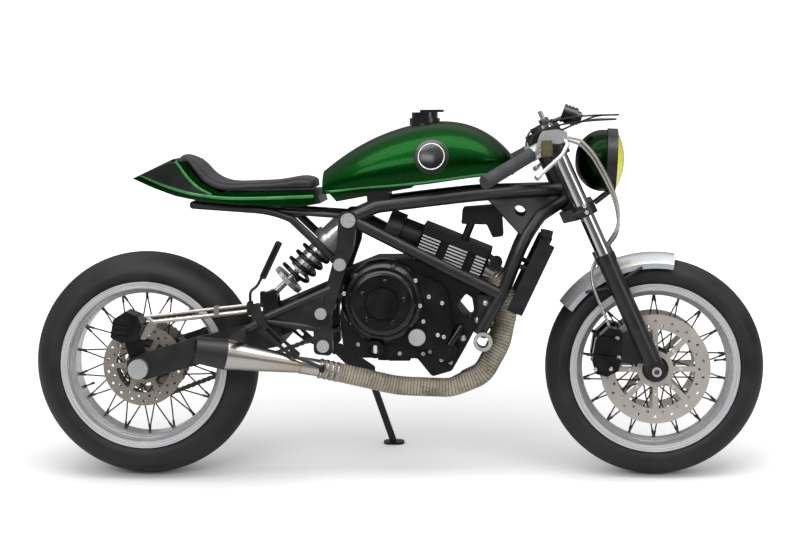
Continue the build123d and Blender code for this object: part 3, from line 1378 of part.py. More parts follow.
# ---- the whole motorcycle ----------------------------------------------------------------
make_tyre(REAR_AXLE, REAR_TYRE_RADIUS, REAR_CROWN, REAR_CROWN_HALF_ANGLE, REAR_BEAD_Y, "rear_tyre")
make_tyre(FRONT_AXLE, FRONT_TYRE_RADIUS, FRONT_CROWN, FRONT_CROWN_HALF_ANGLE, FRONT_BEAD_Y, "front_tyre")
make_rim(REAR_AXLE, REAR_BEAD_Y, "rear_rim")
make_rim(FRONT_AXLE, FRONT_BEAD_Y, "front_rim")
make_hub(REAR_AXLE, 36, 54, 40, 94, [(-70.2, 50, 6), (92.6, 60, 9.2)], "rear_hub")
make_hub(FRONT_AXLE, 32, 46, 32, 66, [(-60.2, 50, 6), (60.2, 50, 6)], "front_hub")
make_disc(REAR_AXLE, [-1], REAR_DISC_Y, REAR_DISC_RADIUS, 76, 36, 6, [86, 99], "rear_disc")
make_disc(FRONT_AXLE, [-1, 1], FRONT_DISC_Y, FRONT_DISC_RADIUS, 109, 36, 8, [119, 132], "front_discs")
make_sprocket(
    (REAR_AXLE[0], REAR_AXLE[2]), REAR_SPROCKET_PITCH_RADIUS, 36, CHAIN_Y, CHAIN_RUN_GAP, "rear_sprocket"
)
make_sprocket(
    FRONT_SPROCKET, FRONT_SPROCKET_PITCH_RADIUS, OUTPUT_SHAFT_RADIUS, CHAIN_Y, SEAT_GAP, "output_sprocket"
)
make_chain()
finish(make_main_frame(), "main_frame")
finish(make_subframe(), "subframe")
finish(make_frame_caps(), "frame_caps")
finish(make_engine_case(), "engine_case")
finish(make_cylinders(), "cylinders")
finish(make_coils(), "ignition_coils")
finish(make_clutch_cover(), "clutch_cover")
finish(make_filler_disc(), "oil_filler")
finish(make_left_cover(), "generator_cover")
finish(make_throttle_bodies(), "throttle_bodies")
finish(make_radiator(), "radiator")
finish(make_headers(), "exhaust_headers")
finish(make_silencer(), "silencer")
finish(make_tank(), "fuel_tank")
finish(make_filler_cap(), "filler_cap")
finish(make_tail(), "tail_cowl")
finish(make_seat(), "seat_pad")
finish(make_shock(), "shock_absorber")
finish(make_spring(), "shock_spring")
finish(make_swingarm(), "swingarm")
finish(make_pivot_bolt(), "pivot_bolt")
finish(make_rear_axle(), "rear_axle")
finish(make_rear_brake(), "rear_brake")
finish(make_torque_rods(), "torque_rods")
finish(make_footrests(), "footrests")
finish(make_rear_reservoir(), "rear_reservoir")
finish(make_yokes(), "fork_yokes")
finish(make_fork_tubes(), "fork_tubes")
finish(make_sliders(), "fork_sliders")
finish(make_front_axle(), "front_axle")
finish(make_headlamp_shell(), "headlamp_shell")
finish(make_headlamp_ring(), "headlamp_ring")
finish(make_headlamp_lens(), "headlamp_lens")
finish(make_handlebars(), "handlebars")
finish(make_grips(), "grips")
finish(make_lever(-1), "brake_lever")
finish(make_lever(1), "clutch_lever")
finish(make_fluid_pot(), "fluid_pot")
finish(make_gauge(), "gauge")
finish(make_fender(), "front_fender")
finish(make_front_calipers(), "front_calipers")
finish(make_brake_hose(), "brake_hose")
finish(make_cables(), "throttle_cables")
finish(make_side_stand(), "side_stand")
write_pieces()
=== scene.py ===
"""Cafe-racer motorcycle on its side stand: finishes, seat, exhaust wrap, painted lines, painted highlights
and painted shade on the tail, chain and stage.

The fixed solid model is loaded first. Lengths of the upright machine are in millimetres, X forward,
Y left, Z up, with X = 0 midway between the axles; parked() leans them over onto the stand, in metres.
"""

import json
import math

import bmesh
import bpy
import numpy as np
from mathutils import Matrix, Vector
from mathutils.bvhtree import BVHTree


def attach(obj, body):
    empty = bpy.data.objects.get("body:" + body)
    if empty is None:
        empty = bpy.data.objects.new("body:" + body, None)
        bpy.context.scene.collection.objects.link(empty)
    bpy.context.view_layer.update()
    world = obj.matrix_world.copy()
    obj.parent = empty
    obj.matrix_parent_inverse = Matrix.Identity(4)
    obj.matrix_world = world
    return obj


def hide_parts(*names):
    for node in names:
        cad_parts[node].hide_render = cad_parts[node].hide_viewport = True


bl_info = {
    "name": "Cafe Racer Motorcycle",
    "version": (1, 0, 0),
    "blender": (4, 5, 0),
    "location": "3D View > Sidebar > Cafe Racer",
    "description": "Finishes and soft parts of a parked cafe-racer motorcycle",
    "category": "Add Mesh",
}

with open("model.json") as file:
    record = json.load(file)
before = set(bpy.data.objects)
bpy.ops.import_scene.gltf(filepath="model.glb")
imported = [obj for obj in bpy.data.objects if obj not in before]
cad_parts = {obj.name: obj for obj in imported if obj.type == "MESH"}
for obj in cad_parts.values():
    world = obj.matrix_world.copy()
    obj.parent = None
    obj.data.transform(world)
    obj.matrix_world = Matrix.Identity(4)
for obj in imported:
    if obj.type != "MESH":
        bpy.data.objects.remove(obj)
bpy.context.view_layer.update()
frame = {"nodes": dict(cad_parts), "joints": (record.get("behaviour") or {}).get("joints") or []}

# ---- the parked frame ----
LEAN = math.radians(8.5)
REAR_AXLE = np.array([-705.0, 0.0, 312.0])
FRONT_AXLE = np.array([705.0, 0.0, 300.0])
TURN = np.array([[1, 0, 0], [0, math.cos(LEAN), math.sin(LEAN)], [0, -math.sin(LEAN), math.cos(LEAN)]])
JOINT_PLACE = {joint["name"]: np.array(joint["pos_m"]) for joint in frame["joints"]}
PARK_SHIFT = JOINT_PLACE["rear_wheel_turn"] - TURN @ (REAR_AXLE / 1000)


def parked(points):
    """Points of the upright machine in millimetres, as metres of the machine leaning on its stand."""
    return np.asarray(points, float) / 1000 @ TURN.T + PARK_SHIFT


# ---- shapes ----
def unit(vectors):
    """Each vector divided by its own length."""
    vectors = np.asarray(vectors, float)
    return vectors / np.maximum(np.linalg.norm(vectors, axis=-1, keepdims=True), 1e-12)


def mesh_piece(name, points, faces, body, slot, finish, smooth=True):
    """A mesh object from upright points and faces, riding on a body; a closed one has its faces outward."""
    mesh = bpy.data.meshes.new(name)
    mesh.from_pydata(parked(points).tolist(), [], [list(map(int, f)) for f in faces])
    mesh.polygons.foreach_set("use_smooth", np.full(len(mesh.polygons), smooth))
    mesh.materials.append(FINISH[finish])
    shape = bmesh.new()
    shape.from_mesh(mesh)
    if all(edge.is_manifold for edge in shape.edges):
        bmesh.ops.recalc_face_normals(shape, faces=shape.faces)
        shape.to_mesh(mesh)
    shape.free()
    mesh.update()
    piece = bpy.data.objects.new(name, mesh)
    bpy.context.scene.collection.objects.link(piece)
    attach(piece, body)
    return piece


def grid_faces(rows, columns, wrap_columns=True):
    """Quads of a rows by columns grid of points, its columns closed round or not."""
    c = np.arange(columns if wrap_columns else columns - 1)
    r, c = np.meshgrid(np.arange(rows - 1), c, indexing="ij")
    r2, c2 = r + 1, (c + 1) % columns
    quads = np.stack([r * columns + c, r * columns + c2, r2 * columns + c2, r2 * columns + c], -1)
    return quads.reshape(-1, 4)


def smooth_path(points, count):
    """Points of a Catmull-Rom curve: each span is the usual cubic of its four neighbours."""
    p = np.asarray(points, float)
    p = np.vstack([2 * p[0] - p[1], p, 2 * p[-1] - p[-2]])
    s = np.linspace(0, len(p) - 3 - 1e-9, count)
    i = s.astype(int)
    t = (s - i)[:, None]
    a, b, c, d = p[i], p[i + 1], p[i + 2], p[i + 3]
    return 0.5 * (2 * b + (c - a) * t + (2 * a - 5 * b + 4 * c - d) * t**2 + (3 * b - a - 3 * c + d) * t**3)


def along(path):
    """Length run from the first point of a path to each of its points."""
    return np.r_[0, np.cumsum(np.linalg.norm(np.diff(path, axis=0), axis=1))]


def sampled(path, lengths):
    """Points of a path at the given lengths run along it."""
    run = along(path)
    return np.stack([np.interp(lengths, run, column) for column in path.T], 1)


def even_path(points, count):
    """A smooth curve through the points, its own points spread evenly along its length."""
    fine = smooth_path(points, 40 * len(points))
    return sampled(fine, np.linspace(0, along(fine)[-1], count))


def swept(path, radii, up, sides=16):
    """Tube points: at path point i, a circle of radius radii[i] (or radii[i, j]) round the tangent."""
    tangent = unit(np.gradient(path, axis=0))
    side = unit(np.cross(tangent, np.asarray(up, float)))
    lift = np.cross(side, tangent)
    a = np.linspace(0, 2 * np.pi, sides, endpoint=False)
    ring = np.cos(a)[None, :, None] * side[:, None] + np.sin(a)[None, :, None] * lift[:, None]
    radii = np.broadcast_to(np.asarray(radii, float).reshape(len(path), -1), (len(path), sides))
    return path[:, None] + ring * radii[..., None]


def closed_tube(points):
    """Vertices and faces of a tube grid with a centre point closing each end."""
    rows, columns = points.shape[:2]
    quads = grid_faces(rows, columns).tolist()
    vertices = np.vstack([points.reshape(-1, 3), points[0].mean(0), points[-1].mean(0)])
    first, last = rows * columns, rows * columns + 1
    k = np.arange(columns)
    k2 = (k + 1) % columns
    start = np.stack([np.full(columns, first), k2, k], 1).tolist()
    base = (rows - 1) * columns
    end = np.stack([np.full(columns, last), base + k, base + k2], 1).tolist()
    return vertices, quads + start + end


def turned(profile, origin, axis, sides=24):
    """A turned solid: each (radius, height) pair of the profile is a circle round the axis."""
    profile = np.asarray(profile, float)
    axis = unit(np.asarray(axis, float))
    helper = np.array([0.0, 0, 1]) if abs(axis[2]) < 0.9 else np.array([1.0, 0, 0])
    across = unit(np.cross(helper, axis))
    other = np.cross(axis, across)
    a = np.linspace(0, 2 * np.pi, sides, endpoint=False)
    ring = np.cos(a)[:, None] * across + np.sin(a)[:, None] * other
    return np.asarray(origin, float) + profile[:, None, :1] * ring[None] + profile[:, None, 1:] * axis


def joined(shapes):
    """Several vertex and face lists as one."""
    vertices, faces, start = [], [], 0
    for points, quads in shapes:
        vertices.append(points)
        faces += [[start + k for k in f] for f in quads]
        start += len(points)
    return np.vstack(vertices), faces


def turned_piece(name, profile, places, axis, body, slot, finish, sides=24):
    """One mesh of like turned solids, one at each place; axis is one direction or one for each."""
    places = np.atleast_2d(places)
    axes = np.broadcast_to(np.asarray(axis, float), places.shape)
    shapes = [closed_tube(turned(profile, spot, way, sides)) for spot, way in zip(places, axes)]
    mesh_piece(name, *joined(shapes), body, slot, finish)


def solid_tree(*names):
    """The named solids' triangles, for finding where a straight line meets them."""
    vertices, faces, start = [], [], 0
    for name in names:
        mesh = frame["nodes"][name].data
        points = np.empty(3 * len(mesh.vertices), np.float32)
        corners = np.empty(len(mesh.loops), np.int32)
        mesh.vertices.foreach_get("co", points)
        mesh.loops.foreach_get("vertex_index", corners)
        vertices.append(points.reshape(-1, 3))
        faces.append(corners.reshape(-1, 3) + start)
        start += len(mesh.vertices)
    return BVHTree.FromPolygons(np.vstack(vertices).tolist(), np.vstack(faces).tolist(), all_triangles=True)


def met(tree, start, way):
    """Where a line of the upright machine first meets the tree, and the face's direction back at it."""
    spot, normal, _, _ = tree.ray_cast(Vector(parked(start)), Vector(TURN @ unit(way)))
    if spot is None:
        raise RuntimeError(f"no solid ahead of {start}")
    normal = np.array(normal) @ TURN
    return (np.array(spot) - PARK_SHIFT) @ TURN * 1000, normal * (-1 if normal @ np.asarray(way) > 0 else 1)


def met_across(tree, places, side=-1, reach=420.0):
    """Surface points met by lines across the machine at the given X and Z, from one side."""
    found = [met(tree, (x, side * reach, z), (0, -side, 0)) for x, z in places]
    return np.array([spot for spot, _ in found]), np.array([normal for _, normal in found])


def round_places(centre, radius, degrees_list):
    """X and Z of places round a centre."""
    a = np.radians(degrees_list)
    return np.stack([centre[0] + radius * np.cos(a), centre[1] + radius * np.sin(a)], 1)


def socket_head(radius, height):
    """Cap screw: radius and height of its rounded rim and of its driving socket."""
    socket = 0.5 * radius
    rim = [(radius - 0.12 * height, height), (radius, height * 0.85), (radius, -2.0)]
    return [(socket, height * 0.35), (socket, height), *rim]


def hex_head(radius, height):
    """Plain bolt head over its washer, closed by its flat face."""
    return [(radius * 0.72, height), (radius * 0.8, height * 0.9), (radius * 0.8, height * 0.35),
            (radius * 1.15, height * 0.3), (radius * 1.15, -2.0)]


def screws(name, tree, places, head, body="frame", slot="aluminium", finish="bolt", side=-1, sides=16):
    """Like screws set on the solids, each along the way across the machine."""
    spots, _ = met_across(tree, places, side)
    turned_piece(name, head, spots, (0, side, 0), body, slot, finish, sides)


# ---- finishes ----
class Graph:
    """One shader tree, with short ways to add a node and hand back the socket wanted."""

    def __init__(self, tree, end=None):
        self.tree, self.end = tree, end

    def put(self, value, socket):
        """Joins a socket to an input, or sets any other value on it."""
        if isinstance(value, bpy.types.NodeSocket):
            self.tree.links.new(value, socket)
        else:
            socket.default_value = value

    def node(self, kind, values=None, **settings):
        """Adds a node, its settings first and then its inputs."""
        node = self.tree.nodes.new("ShaderNode" + kind)
        for key, value in settings.items():
            setattr(node, key, value)
        for key, value in (values or {}).items():
            self.put(value, node.inputs[key])
        return node

    def feed(self, **values):
        """Joins or sets inputs of the end node: the shader of a finish, or the output of a group."""
        for key, value in values.items():
            self.put(value, self.end.inputs[key.replace("_", " ")])

    def maths(self, operation, *values):
        return self.node("Math", dict(enumerate(values)), operation=operation).outputs[0]

    def mix(self, factor, first, second):
        """A colour between two colours or sockets."""
        return self.node("Mix", {0: factor, 6: first, 7: second}, data_type="RGBA").outputs[2]

    def ranged(self, value, low, high, to_low=0.0, to_high=1.0, kind="LINEAR"):
        """A value carried from one range to another, held at its ends."""
        limits = {"Value": value, "From Min": low, "From Max": high, "To Min": to_low, "To Max": to_high}
        return self.node("MapRange", limits, interpolation_type=kind).outputs["Result"]

    def split(self, vector):
        return self.node("SeparateXYZ", {"Vector": vector}).outputs

    def join(self, x, y=0.0):
        return self.node("CombineXYZ", {"X": x, "Y": y}).outputs["Vector"]

    def length(self, vector):
        return self.node("VectorMath", {0: vector}, operation="LENGTH").outputs["Value"]

    def noise(self, vector, scale, detail, roughness=0.5):
        values = {"Vector": vector, "Scale": scale, "Detail": detail, "Roughness": roughness}
        return self.node("TexNoise", values).outputs["Fac"]

    def wave(self, vector, scale, direction, **values):
        wave = self.node("TexWave", {"Vector": vector, "Scale": scale, **values}, bands_direction=direction)
        return wave.outputs["Fac"]

    def mapped(self, vector, **values):
        """A vector through a Mapping node, given its Location, Rotation or Scale."""
        return self.node("Mapping", {"Vector": vector, **values}).outputs["Vector"]

    def place(self, scale=(1, 1, 1)):
        """Object coordinates, scaled."""
        return self.mapped(self.node("TexCoord").outputs["Object"], Scale=scale)

    def upright(self, origin_mm=(0, 0, 0), turn=None):
        """Coordinates of the upright machine, in metres from a given point of it."""
        moved = self.mapped(self.node("TexCoord").outputs["Object"], Location=tuple(-parked(origin_mm)))
        level = self.mapped(moved, Rotation=(LEAN, 0, 0))
        return self.mapped(level, Rotation=turn) if turn else level

    def effect(self, name, **values):
        """Outputs of one of the shared node groups."""
        given = {key.replace("_", " "): value for key, value in values.items()}
        return self.node("Group", given, node_tree=EFFECT[name]).outputs

    def grain(self, size, patch, vector=None):
        return self.effect("grain", Vector=vector or self.place(), Size=size, Patch_Size=patch)

    def bump(self, height, strength, distance):
        bump = self.node("Bump", {"Height": height, "Strength": strength, "Distance": distance})
        self.feed(Normal=bump.outputs["Normal"])


EFFECT = {}
FINISH = {}


def colour(r, g, b):
    return (r, g, b, 1.0)


def grey(level):
    return colour(level, level, level)


def shaded(tone, factor, lift=0.0):
    """A colour scaled and lifted, held at white."""
    return tuple(min(1.0, factor * c + lift) for c in tuple(tone)[:3]) + (1.0,)


def start_finish(name, **values):
    """A material and the graph that ends in its Principled shader, with the shader's plain values set."""
    material = bpy.data.materials.new(name)
    material.use_nodes = True
    graph = Graph(material.node_tree, material.node_tree.nodes["Principled BSDF"])
    graph.feed(**values)
    return material, graph


def start_group(name, inputs, outputs):
    """A shader node group of a vector and named values: the graph that ends in its output, and its inputs."""
    group = bpy.data.node_groups.new(name, "ShaderNodeTree")
    add = group.interface.new_socket
    add(name="Vector", in_out="INPUT", socket_type="NodeSocketVector")
    for label, default in inputs.items():
        add(name=label, in_out="INPUT", socket_type="NodeSocketFloat").default_value = default
    for label in outputs:
        add(name=label, in_out="OUTPUT", socket_type="NodeSocketFloat")
    return Graph(group, group.nodes.new("NodeGroupOutput")), group.nodes.new("NodeGroupInput").outputs


def make_grain_group():
    """Fine unevenness: two noises of different size, one as a height and one as a soft mask."""
    graph, given = start_group("Fine Grain", {"Size": 300.0, "Patch Size": 14.0}, ("Height", "Patches"))
    broad = graph.noise(given["Vector"], given["Patch Size"], 4.0)
    graph.feed(Height=graph.noise(given["Vector"], given["Size"], 3.0, 0.55),
               Patches=graph.ranged(broad, 0.35, 0.7))
    return graph.tree


def make_turned_group():
    """Turned marks: noise by the radius from the Z axis of the vector, hardly changing round it."""
    graph, given = start_group("Turned Marks", {"Density": 900.0}, ("Height", "Streaks"))
    x, y, _ = graph.split(given["Vector"])
    slow = graph.maths("MULTIPLY", graph.maths("ARCTAN2", y, x), 0.002)
    marks = graph.noise(graph.join(graph.length(graph.join(x, y)), slow), given["Density"], 3.0)
    graph.feed(Height=marks, Streaks=graph.ranged(marks, 0.3, 0.7))
    return graph.tree


def make_flake_group():
    """Metal flake: small cells with a random brightness each, over a slow cloud."""
    graph, given = start_group("Paint Flake", {"Flakes": 1400.0}, ("Sparkle", "Cloud"))
    cells = graph.node("TexVoronoi", {"Vector": given["Vector"], "Scale": given["Flakes"]}).outputs["Color"]
    red = graph.node("SeparateColor", {"Color": cells}).outputs["Red"]
    graph.feed(Sparkle=graph.maths("POWER", red, 3.0), Cloud=graph.noise(given["Vector"], 5.0, 2.0))
    return graph.tree


def green_paint(look, name, low_edge=None, front_edge=None, depth=1.0):
    """Deep green candy lacquer: flake under a clear coat. low_edge holds a, b and c of z = a + b x + c x^2 in
    metres; it turns black under that line and ahead of front_edge. depth scales its brightness."""
    material, graph = start_finish(name, Metallic=1.0, Roughness=0.34, Coat_Weight=0.14, Coat_Roughness=0.03,
                                   Coat_IOR=1.5)
    flake = graph.effect("flake", Vector=graph.place())
    deep, body, spark = (shaded(tone, depth) for tone in (look.green_deep, look.green_body, look.green_flake))
    paint = graph.mix(flake["Cloud"], deep, body)
    paint = graph.mix(graph.ranged(flake["Sparkle"], 0.15, 0.9, 0.0, 0.6), paint, spark)
    if low_edge:
        a, b, c = low_edge
        x, _, z = graph.split(graph.upright())
        line = graph.maths("MULTIPLY_ADD", x, graph.maths("MULTIPLY_ADD", x, c, b), a)
        clear = graph.ranged(graph.maths("SUBTRACT", z, line), -0.016, 0.0)
        if front_edge is not None:
            behind = graph.ranged(x, front_edge - 0.0005, front_edge, 1.0, 0.0)
            clear = graph.maths("MULTIPLY", clear, behind)
        paint = graph.mix(clear, colour(0.003, 0.005, 0.003), paint)
        graph.feed(Metallic=clear)
    graph.feed(Base_Color=paint)
    graph.bump(flake["Sparkle"], 0.04, 0.0002)
    return material


def grained(name, tones, size, patch, rough, strength, distance=0.0004, stretch=(1, 1, 1), **shine):
    """Fine grain in the bump, and two tones in slow patches. rough says which output of the grain drives the
    roughness, the range it is read over and the roughness at each end."""
    material, graph = start_finish(name, **shine)
    fine = graph.grain(size, patch, graph.place(stretch))
    driver, *span = rough
    graph.feed(Base_Color=graph.mix(fine["Patches"], *tones), Roughness=graph.ranged(fine[driver], *span))
    graph.bump(fine["Height"], strength, distance)
    return material


def lacquered_metal(name, base, roughness, grain=700.0, strength=0.05, coat=0.0, metallic=0.0, gloss=0.5):
    """Painted or cast metal, lighter and rougher in slow patches."""
    rough = ("Patches", 0, 1, roughness - 0.05, roughness + 0.07)
    return grained(name, (base, shaded(base, 1.5, 0.004)), grain, 22.0, rough, strength, Metallic=metallic,
                   Coat_Weight=coat, Coat_Roughness=0.12, Specular_IOR_Level=gloss)


def plain_metal(name, base, roughness, patch=12.0, strength=0.03, stretch=(1, 1, 1), metallic=1.0):
    """Bare metal with uneven roughness and fine scratches, drawn out along one direction by stretch."""
    rough = ("Height", 0.3, 0.7, roughness - 0.05, roughness + 0.09)
    tones = (base, shaded(base, 0.78))
    return grained(name, tones, 1600.0, patch, rough, strength, 0.0003, stretch, Metallic=metallic)


def moulded(name, base, roughness, strength=0.1, size=380.0):
    """Moulded rubber or plastic with a fine even grain."""
    rough = ("Height", 0.3, 0.7, roughness - 0.08, roughness + 0.08)
    tones = (base, shaded(base, 1.5, 0.004))
    return grained(name, tones, size, 20.0, rough, strength, Specular_IOR_Level=0.28)


def turned_metal(name, base, roughness, centre_mm, density=900.0, strength=0.06):
    """Bare metal with turned marks round an axle that runs across the machine."""
    material, graph = start_finish(name, Metallic=0.62)
    marks = graph.effect("turned", Vector=graph.upright(centre_mm, ACROSS), Density=density)
    blend = graph.mix(graph.grain(500.0, 16.0)["Patches"], base, shaded(base, 1.18))
    streaks = marks["Streaks"]
    graph.feed(Base_Color=graph.mix(graph.ranged(streaks, 0, 1, 0.5, 0.0), blend, shaded(base, 0.8)),
               Roughness=graph.ranged(streaks, 0, 1, roughness - 0.06, roughness + 0.08))
    graph.bump(marks["Height"], strength, 0.0003)
    return material


def tyre_rubber(look, name, axle_mm):
    """Slick tyre: charcoal with faint moulding rings round the axle, paler patches that are partly dust and
    partly a painted sheen, and fine grain.
    """
    material, graph = start_finish(name, Specular_IOR_Level=0.22)
    fine = graph.grain(520.0, 9.0)
    rings = graph.effect("turned", Vector=graph.upright(axle_mm, ACROSS), Density=120.0)
    paler_rubber = shaded(look.tyre, 1.7, 0.006)
    # Paler patches: partly dust, partly a painted sheen.
    dust_and_sheen = graph.mix(fine["Patches"], tuple(look.tyre), paler_rubber)
    graph.feed(Base_Color=graph.mix(graph.ranged(rings["Streaks"], 0.55, 0.95, 0.0, 0.5), dust_and_sheen, paler_rubber),
               Roughness=graph.ranged(fine["Patches"], 0, 1, 0.42, 0.6))
    graph.bump(graph.maths("MULTIPLY_ADD", rings["Height"], 0.5, fine["Height"]), 0.14, 0.0005)
    return material


ACROSS = (math.pi / 2, 0, 0)    # turns the axle's way into Z
HEAD_TILT = math.radians(22.0)
HEAD_ALONG = np.array([math.cos(HEAD_TILT), 0, -math.sin(HEAD_TILT)])
HEAD_UP = np.array([math.sin(HEAD_TILT), 0, math.cos(HEAD_TILT)])
HEAD_ORIGIN = np.array([150.0, 0, 600.0])
FIN_TOP = 0.0420                # metres up the bores
FIN_EDGE = 0.0973               # metres out from the middle


def finned_head():
    """Black cast cylinders whose fins are bare and bright on their outer edges."""
    material, graph = start_finish("Black Cylinders With Bright Fin Edges", Specular_IOR_Level=0.3)
    fine = graph.grain(420.0, 20.0)
    _, y, z = graph.split(graph.upright(HEAD_ORIGIN, (0.0, -HEAD_TILT, 0.0)))
    side = graph.ranged(graph.maths("ABSOLUTE", y), FIN_EDGE, FIN_EDGE + 0.0004)
    edge = graph.maths("MULTIPLY", side, graph.ranged(z, FIN_TOP, FIN_TOP + 0.0004, 1.0, 0.0))
    bright = graph.mix(fine["Patches"], grey(0.90), grey(0.70))
    graph.feed(Base_Color=graph.mix(edge, colour(0.004, 0.004, 0.005), bright),
               Metallic=graph.ranged(edge, 0, 1, 0.0, 0.5), Roughness=graph.ranged(edge, 0, 1, 0.5, 0.3))
    graph.bump(fine["Height"], 0.25, 0.0004)
    return material


def radiator_paint(look):
    """Satin black radiator; its core is folded into fine upright fins."""
    material, graph = start_finish("Black Radiator", Specular_IOR_Level=0.3, Roughness=0.45)
    folds = graph.wave(graph.upright(), 90.0, "Y")
    fine = graph.grain(600.0, 20.0)
    graph.feed(Base_Color=graph.mix(fine["Patches"], tuple(look.black), colour(0.022, 0.022, 0.024)))
    graph.bump(graph.maths("MULTIPLY_ADD", folds, 1.5, fine["Height"]), 0.25, 0.0006)
    return material


SEAT_PANEL = (0.085, 0.415)     # share of the way round between the seams of the top panel
SEAT_HATCH = 0.011              # metres between the sewn lines
SEAT_STITCH = 0.0028            # metres that a sewn line takes to rise


def seat_vinyl(look):
    """Grained charcoal vinyl. The top panel, a band of the piece's UV map, is sewn in two crossing sets of
    slanting lines u + y and u - y, its colour darkened down into each line as painted shade; the side panel
    is smooth."""
    material, graph = start_finish("Charcoal Seat Vinyl", Specular_IOR_Level=0.3, Sheen_Weight=0.08,
                                   Sheen_Roughness=0.4)
    spot = graph.place()
    cells = graph.node("TexVoronoi", {"Vector": spot, "Scale": 620.0}, feature="SMOOTH_F1")
    fine = graph.grain(260.0, 12.0, spot)
    u, v, _ = graph.split(graph.node("UVMap", uv_map="UVMap").outputs["UV"])
    y = graph.split(graph.upright())[1]
    slants = [graph.maths("MULTIPLY_ADD", y, sign, u) for sign in (1.0, -1.0)]
    away = [graph.maths("PINGPONG", slant, SEAT_HATCH) for slant in slants]
    pads = graph.maths("MINIMUM", *[graph.ranged(line, 0.0, SEAT_STITCH) for line in away])
    panel = graph.maths("MULTIPLY", graph.maths("GREATER_THAN", v, SEAT_PANEL[0]),
                        graph.maths("LESS_THAN", v, SEAT_PANEL[1]))
    sunk = graph.maths("MULTIPLY", graph.maths("SUBTRACT", pads, 1.0), panel)
    hide = graph.mix(fine["Patches"], tuple(look.seat), shaded(look.seat, 1.6, 0.006))
    # Painted shade: the colour darkens down the slopes into each sewn line.
    stitch_shade = graph.ranged(sunk, -1.0, 0.0, 0.75, 0.0)
    graph.feed(Base_Color=graph.mix(stitch_shade, hide, colour(0.006, 0.006, 0.007)),
               Roughness=graph.ranged(fine["Patches"], 0, 1, 0.42, 0.56))
    graph.bump(graph.maths("MULTIPLY_ADD", cells.outputs["Distance"], 0.35, sunk), 0.6, 0.0009)
    return material


def wrap_cloth(look):
    """Heat wrap: spiral rows where u / pitch - v is a whole number, u along the pipe and v one turn round it,
    with a fine weave between them, stained khaki and grey, and painted shade darkening the grooves between
    rows."""
    material, graph = start_finish("Exhaust Heat Wrap", Roughness=0.9, Specular_IOR_Level=0.2)
    uv = graph.node("UVMap", uv_map="UVMap").outputs["UV"]
    u, v, _ = graph.split(uv)
    turns = graph.maths("MULTIPLY_ADD", u, 1000 / look.wrap_pitch, graph.maths("MULTIPLY", v, -1.0))
    edge = graph.maths("PINGPONG", graph.maths("FRACT", turns), 0.5)
    weave = graph.wave(uv, 190.0, "X", **{"Distortion": 1.5, "Detail": 2.0, "Detail Scale": 3.0})
    spot = graph.place()
    stain = graph.noise(spot, 18.0, 6.0, 0.65)
    mottle = graph.noise(spot, 230.0, 4.0)
    khaki = graph.mix(graph.ranged(stain, 0.36, 0.64), tuple(look.wrap_dark), tuple(look.wrap))
    ashy = graph.mix(graph.ranged(mottle, 0.42, 0.66, 0.0, 0.7), khaki, colour(0.52, 0.49, 0.44))
    specked = graph.mix(graph.ranged(weave, 0.0, 0.45, 0.35, 0.0), ashy, colour(0.06, 0.05, 0.035))
    # Painted shade: dark brown in the grooves where one row meets the next.
    groove_shade = graph.ranged(edge, 0.02, 0.16, 0.85, 0.0)
    graph.feed(Base_Color=graph.mix(groove_shade, specked, colour(0.045, 0.036, 0.025)))
    graph.bump(weave, 0.5, 0.0006)
    return material


LENS_CENTRE = (612, 0, 867)


def yellow_lens(look):
    """Fluted yellow lamp glass, darker towards its top. A painted glow in the emission stands for light
    coming through the glass, and the flutes' crests are painted lighter as highlights.
    """
    # Painted glow: the unlit lamp glass is given a faint yellow emission.
    material, graph = start_finish("Yellow Lamp Glass", Roughness=0.12, Coat_Weight=1.0, Coat_Roughness=0.02,
                                   IOR=1.45, Emission_Color=colour(0.75, 0.70, 0.01), Emission_Strength=0.42)
    spot = graph.upright(LENS_CENTRE)
    flutes = graph.maths("ADD", graph.wave(spot, 55.0, "Y"), graph.wave(spot, 12.0, "Z"))
    height = graph.ranged(graph.split(spot)[2], -0.06, 0.06)
    base = graph.mix(height, tuple(look.lens_low), tuple(look.lens))
    # Painted highlight: the flutes' crests are lighter yellow.
    graph.feed(Base_Color=graph.mix(graph.ranged(flutes, 0.9, 1.9, 0.0, 0.3), base, colour(0.90, 0.88, 0.12)))
    graph.bump(flutes, 0.35, 0.001)
    return material


CONE_START = np.array([-262.0, -145.0, 322.0])
CONE_AXIS = unit(np.array([-466.0, -202.0, 361.0]) - CONE_START)
CONE_LENGTH = 0.2060            # metres of bare steel before the black cap


def silencer_metal(look):
    """Spun steel cone, warm from heat near the pipe, and a black-coated end cap past a given length."""
    material, graph = start_finish("Spun Steel And Black Cap")
    yaw, rise = math.atan2(CONE_AXIS[1], CONE_AXIS[0]), math.asin(CONE_AXIS[2])
    flat = graph.mapped(graph.upright(CONE_START), Rotation=(0.0, 0.0, -yaw))
    run = graph.split(graph.mapped(flat, Rotation=(0.0, rise, 0.0)))[0]
    marks = graph.noise(graph.join(run), 900.0, 3.0)
    cap = graph.ranged(run, CONE_LENGTH, CONE_LENGTH + 0.0006)
    steel = graph.mix(graph.ranged(run, 0.0, 0.12, 0.9, 0.0), tuple(look.steel), colour(0.50, 0.40, 0.29))
    lined = graph.mix(graph.ranged(marks, 0.35, 0.65, 0.25, 0.0), steel, colour(0.25, 0.24, 0.22))
    graph.feed(Base_Color=graph.mix(cap, lined, colour(0.014, 0.014, 0.017)),
               Metallic=graph.ranged(cap, 0, 1, 1.0, 0.0), Roughness=graph.ranged(cap, 0, 1, 0.27, 0.42))
    graph.bump(marks, 0.05, 0.0003)
    return material


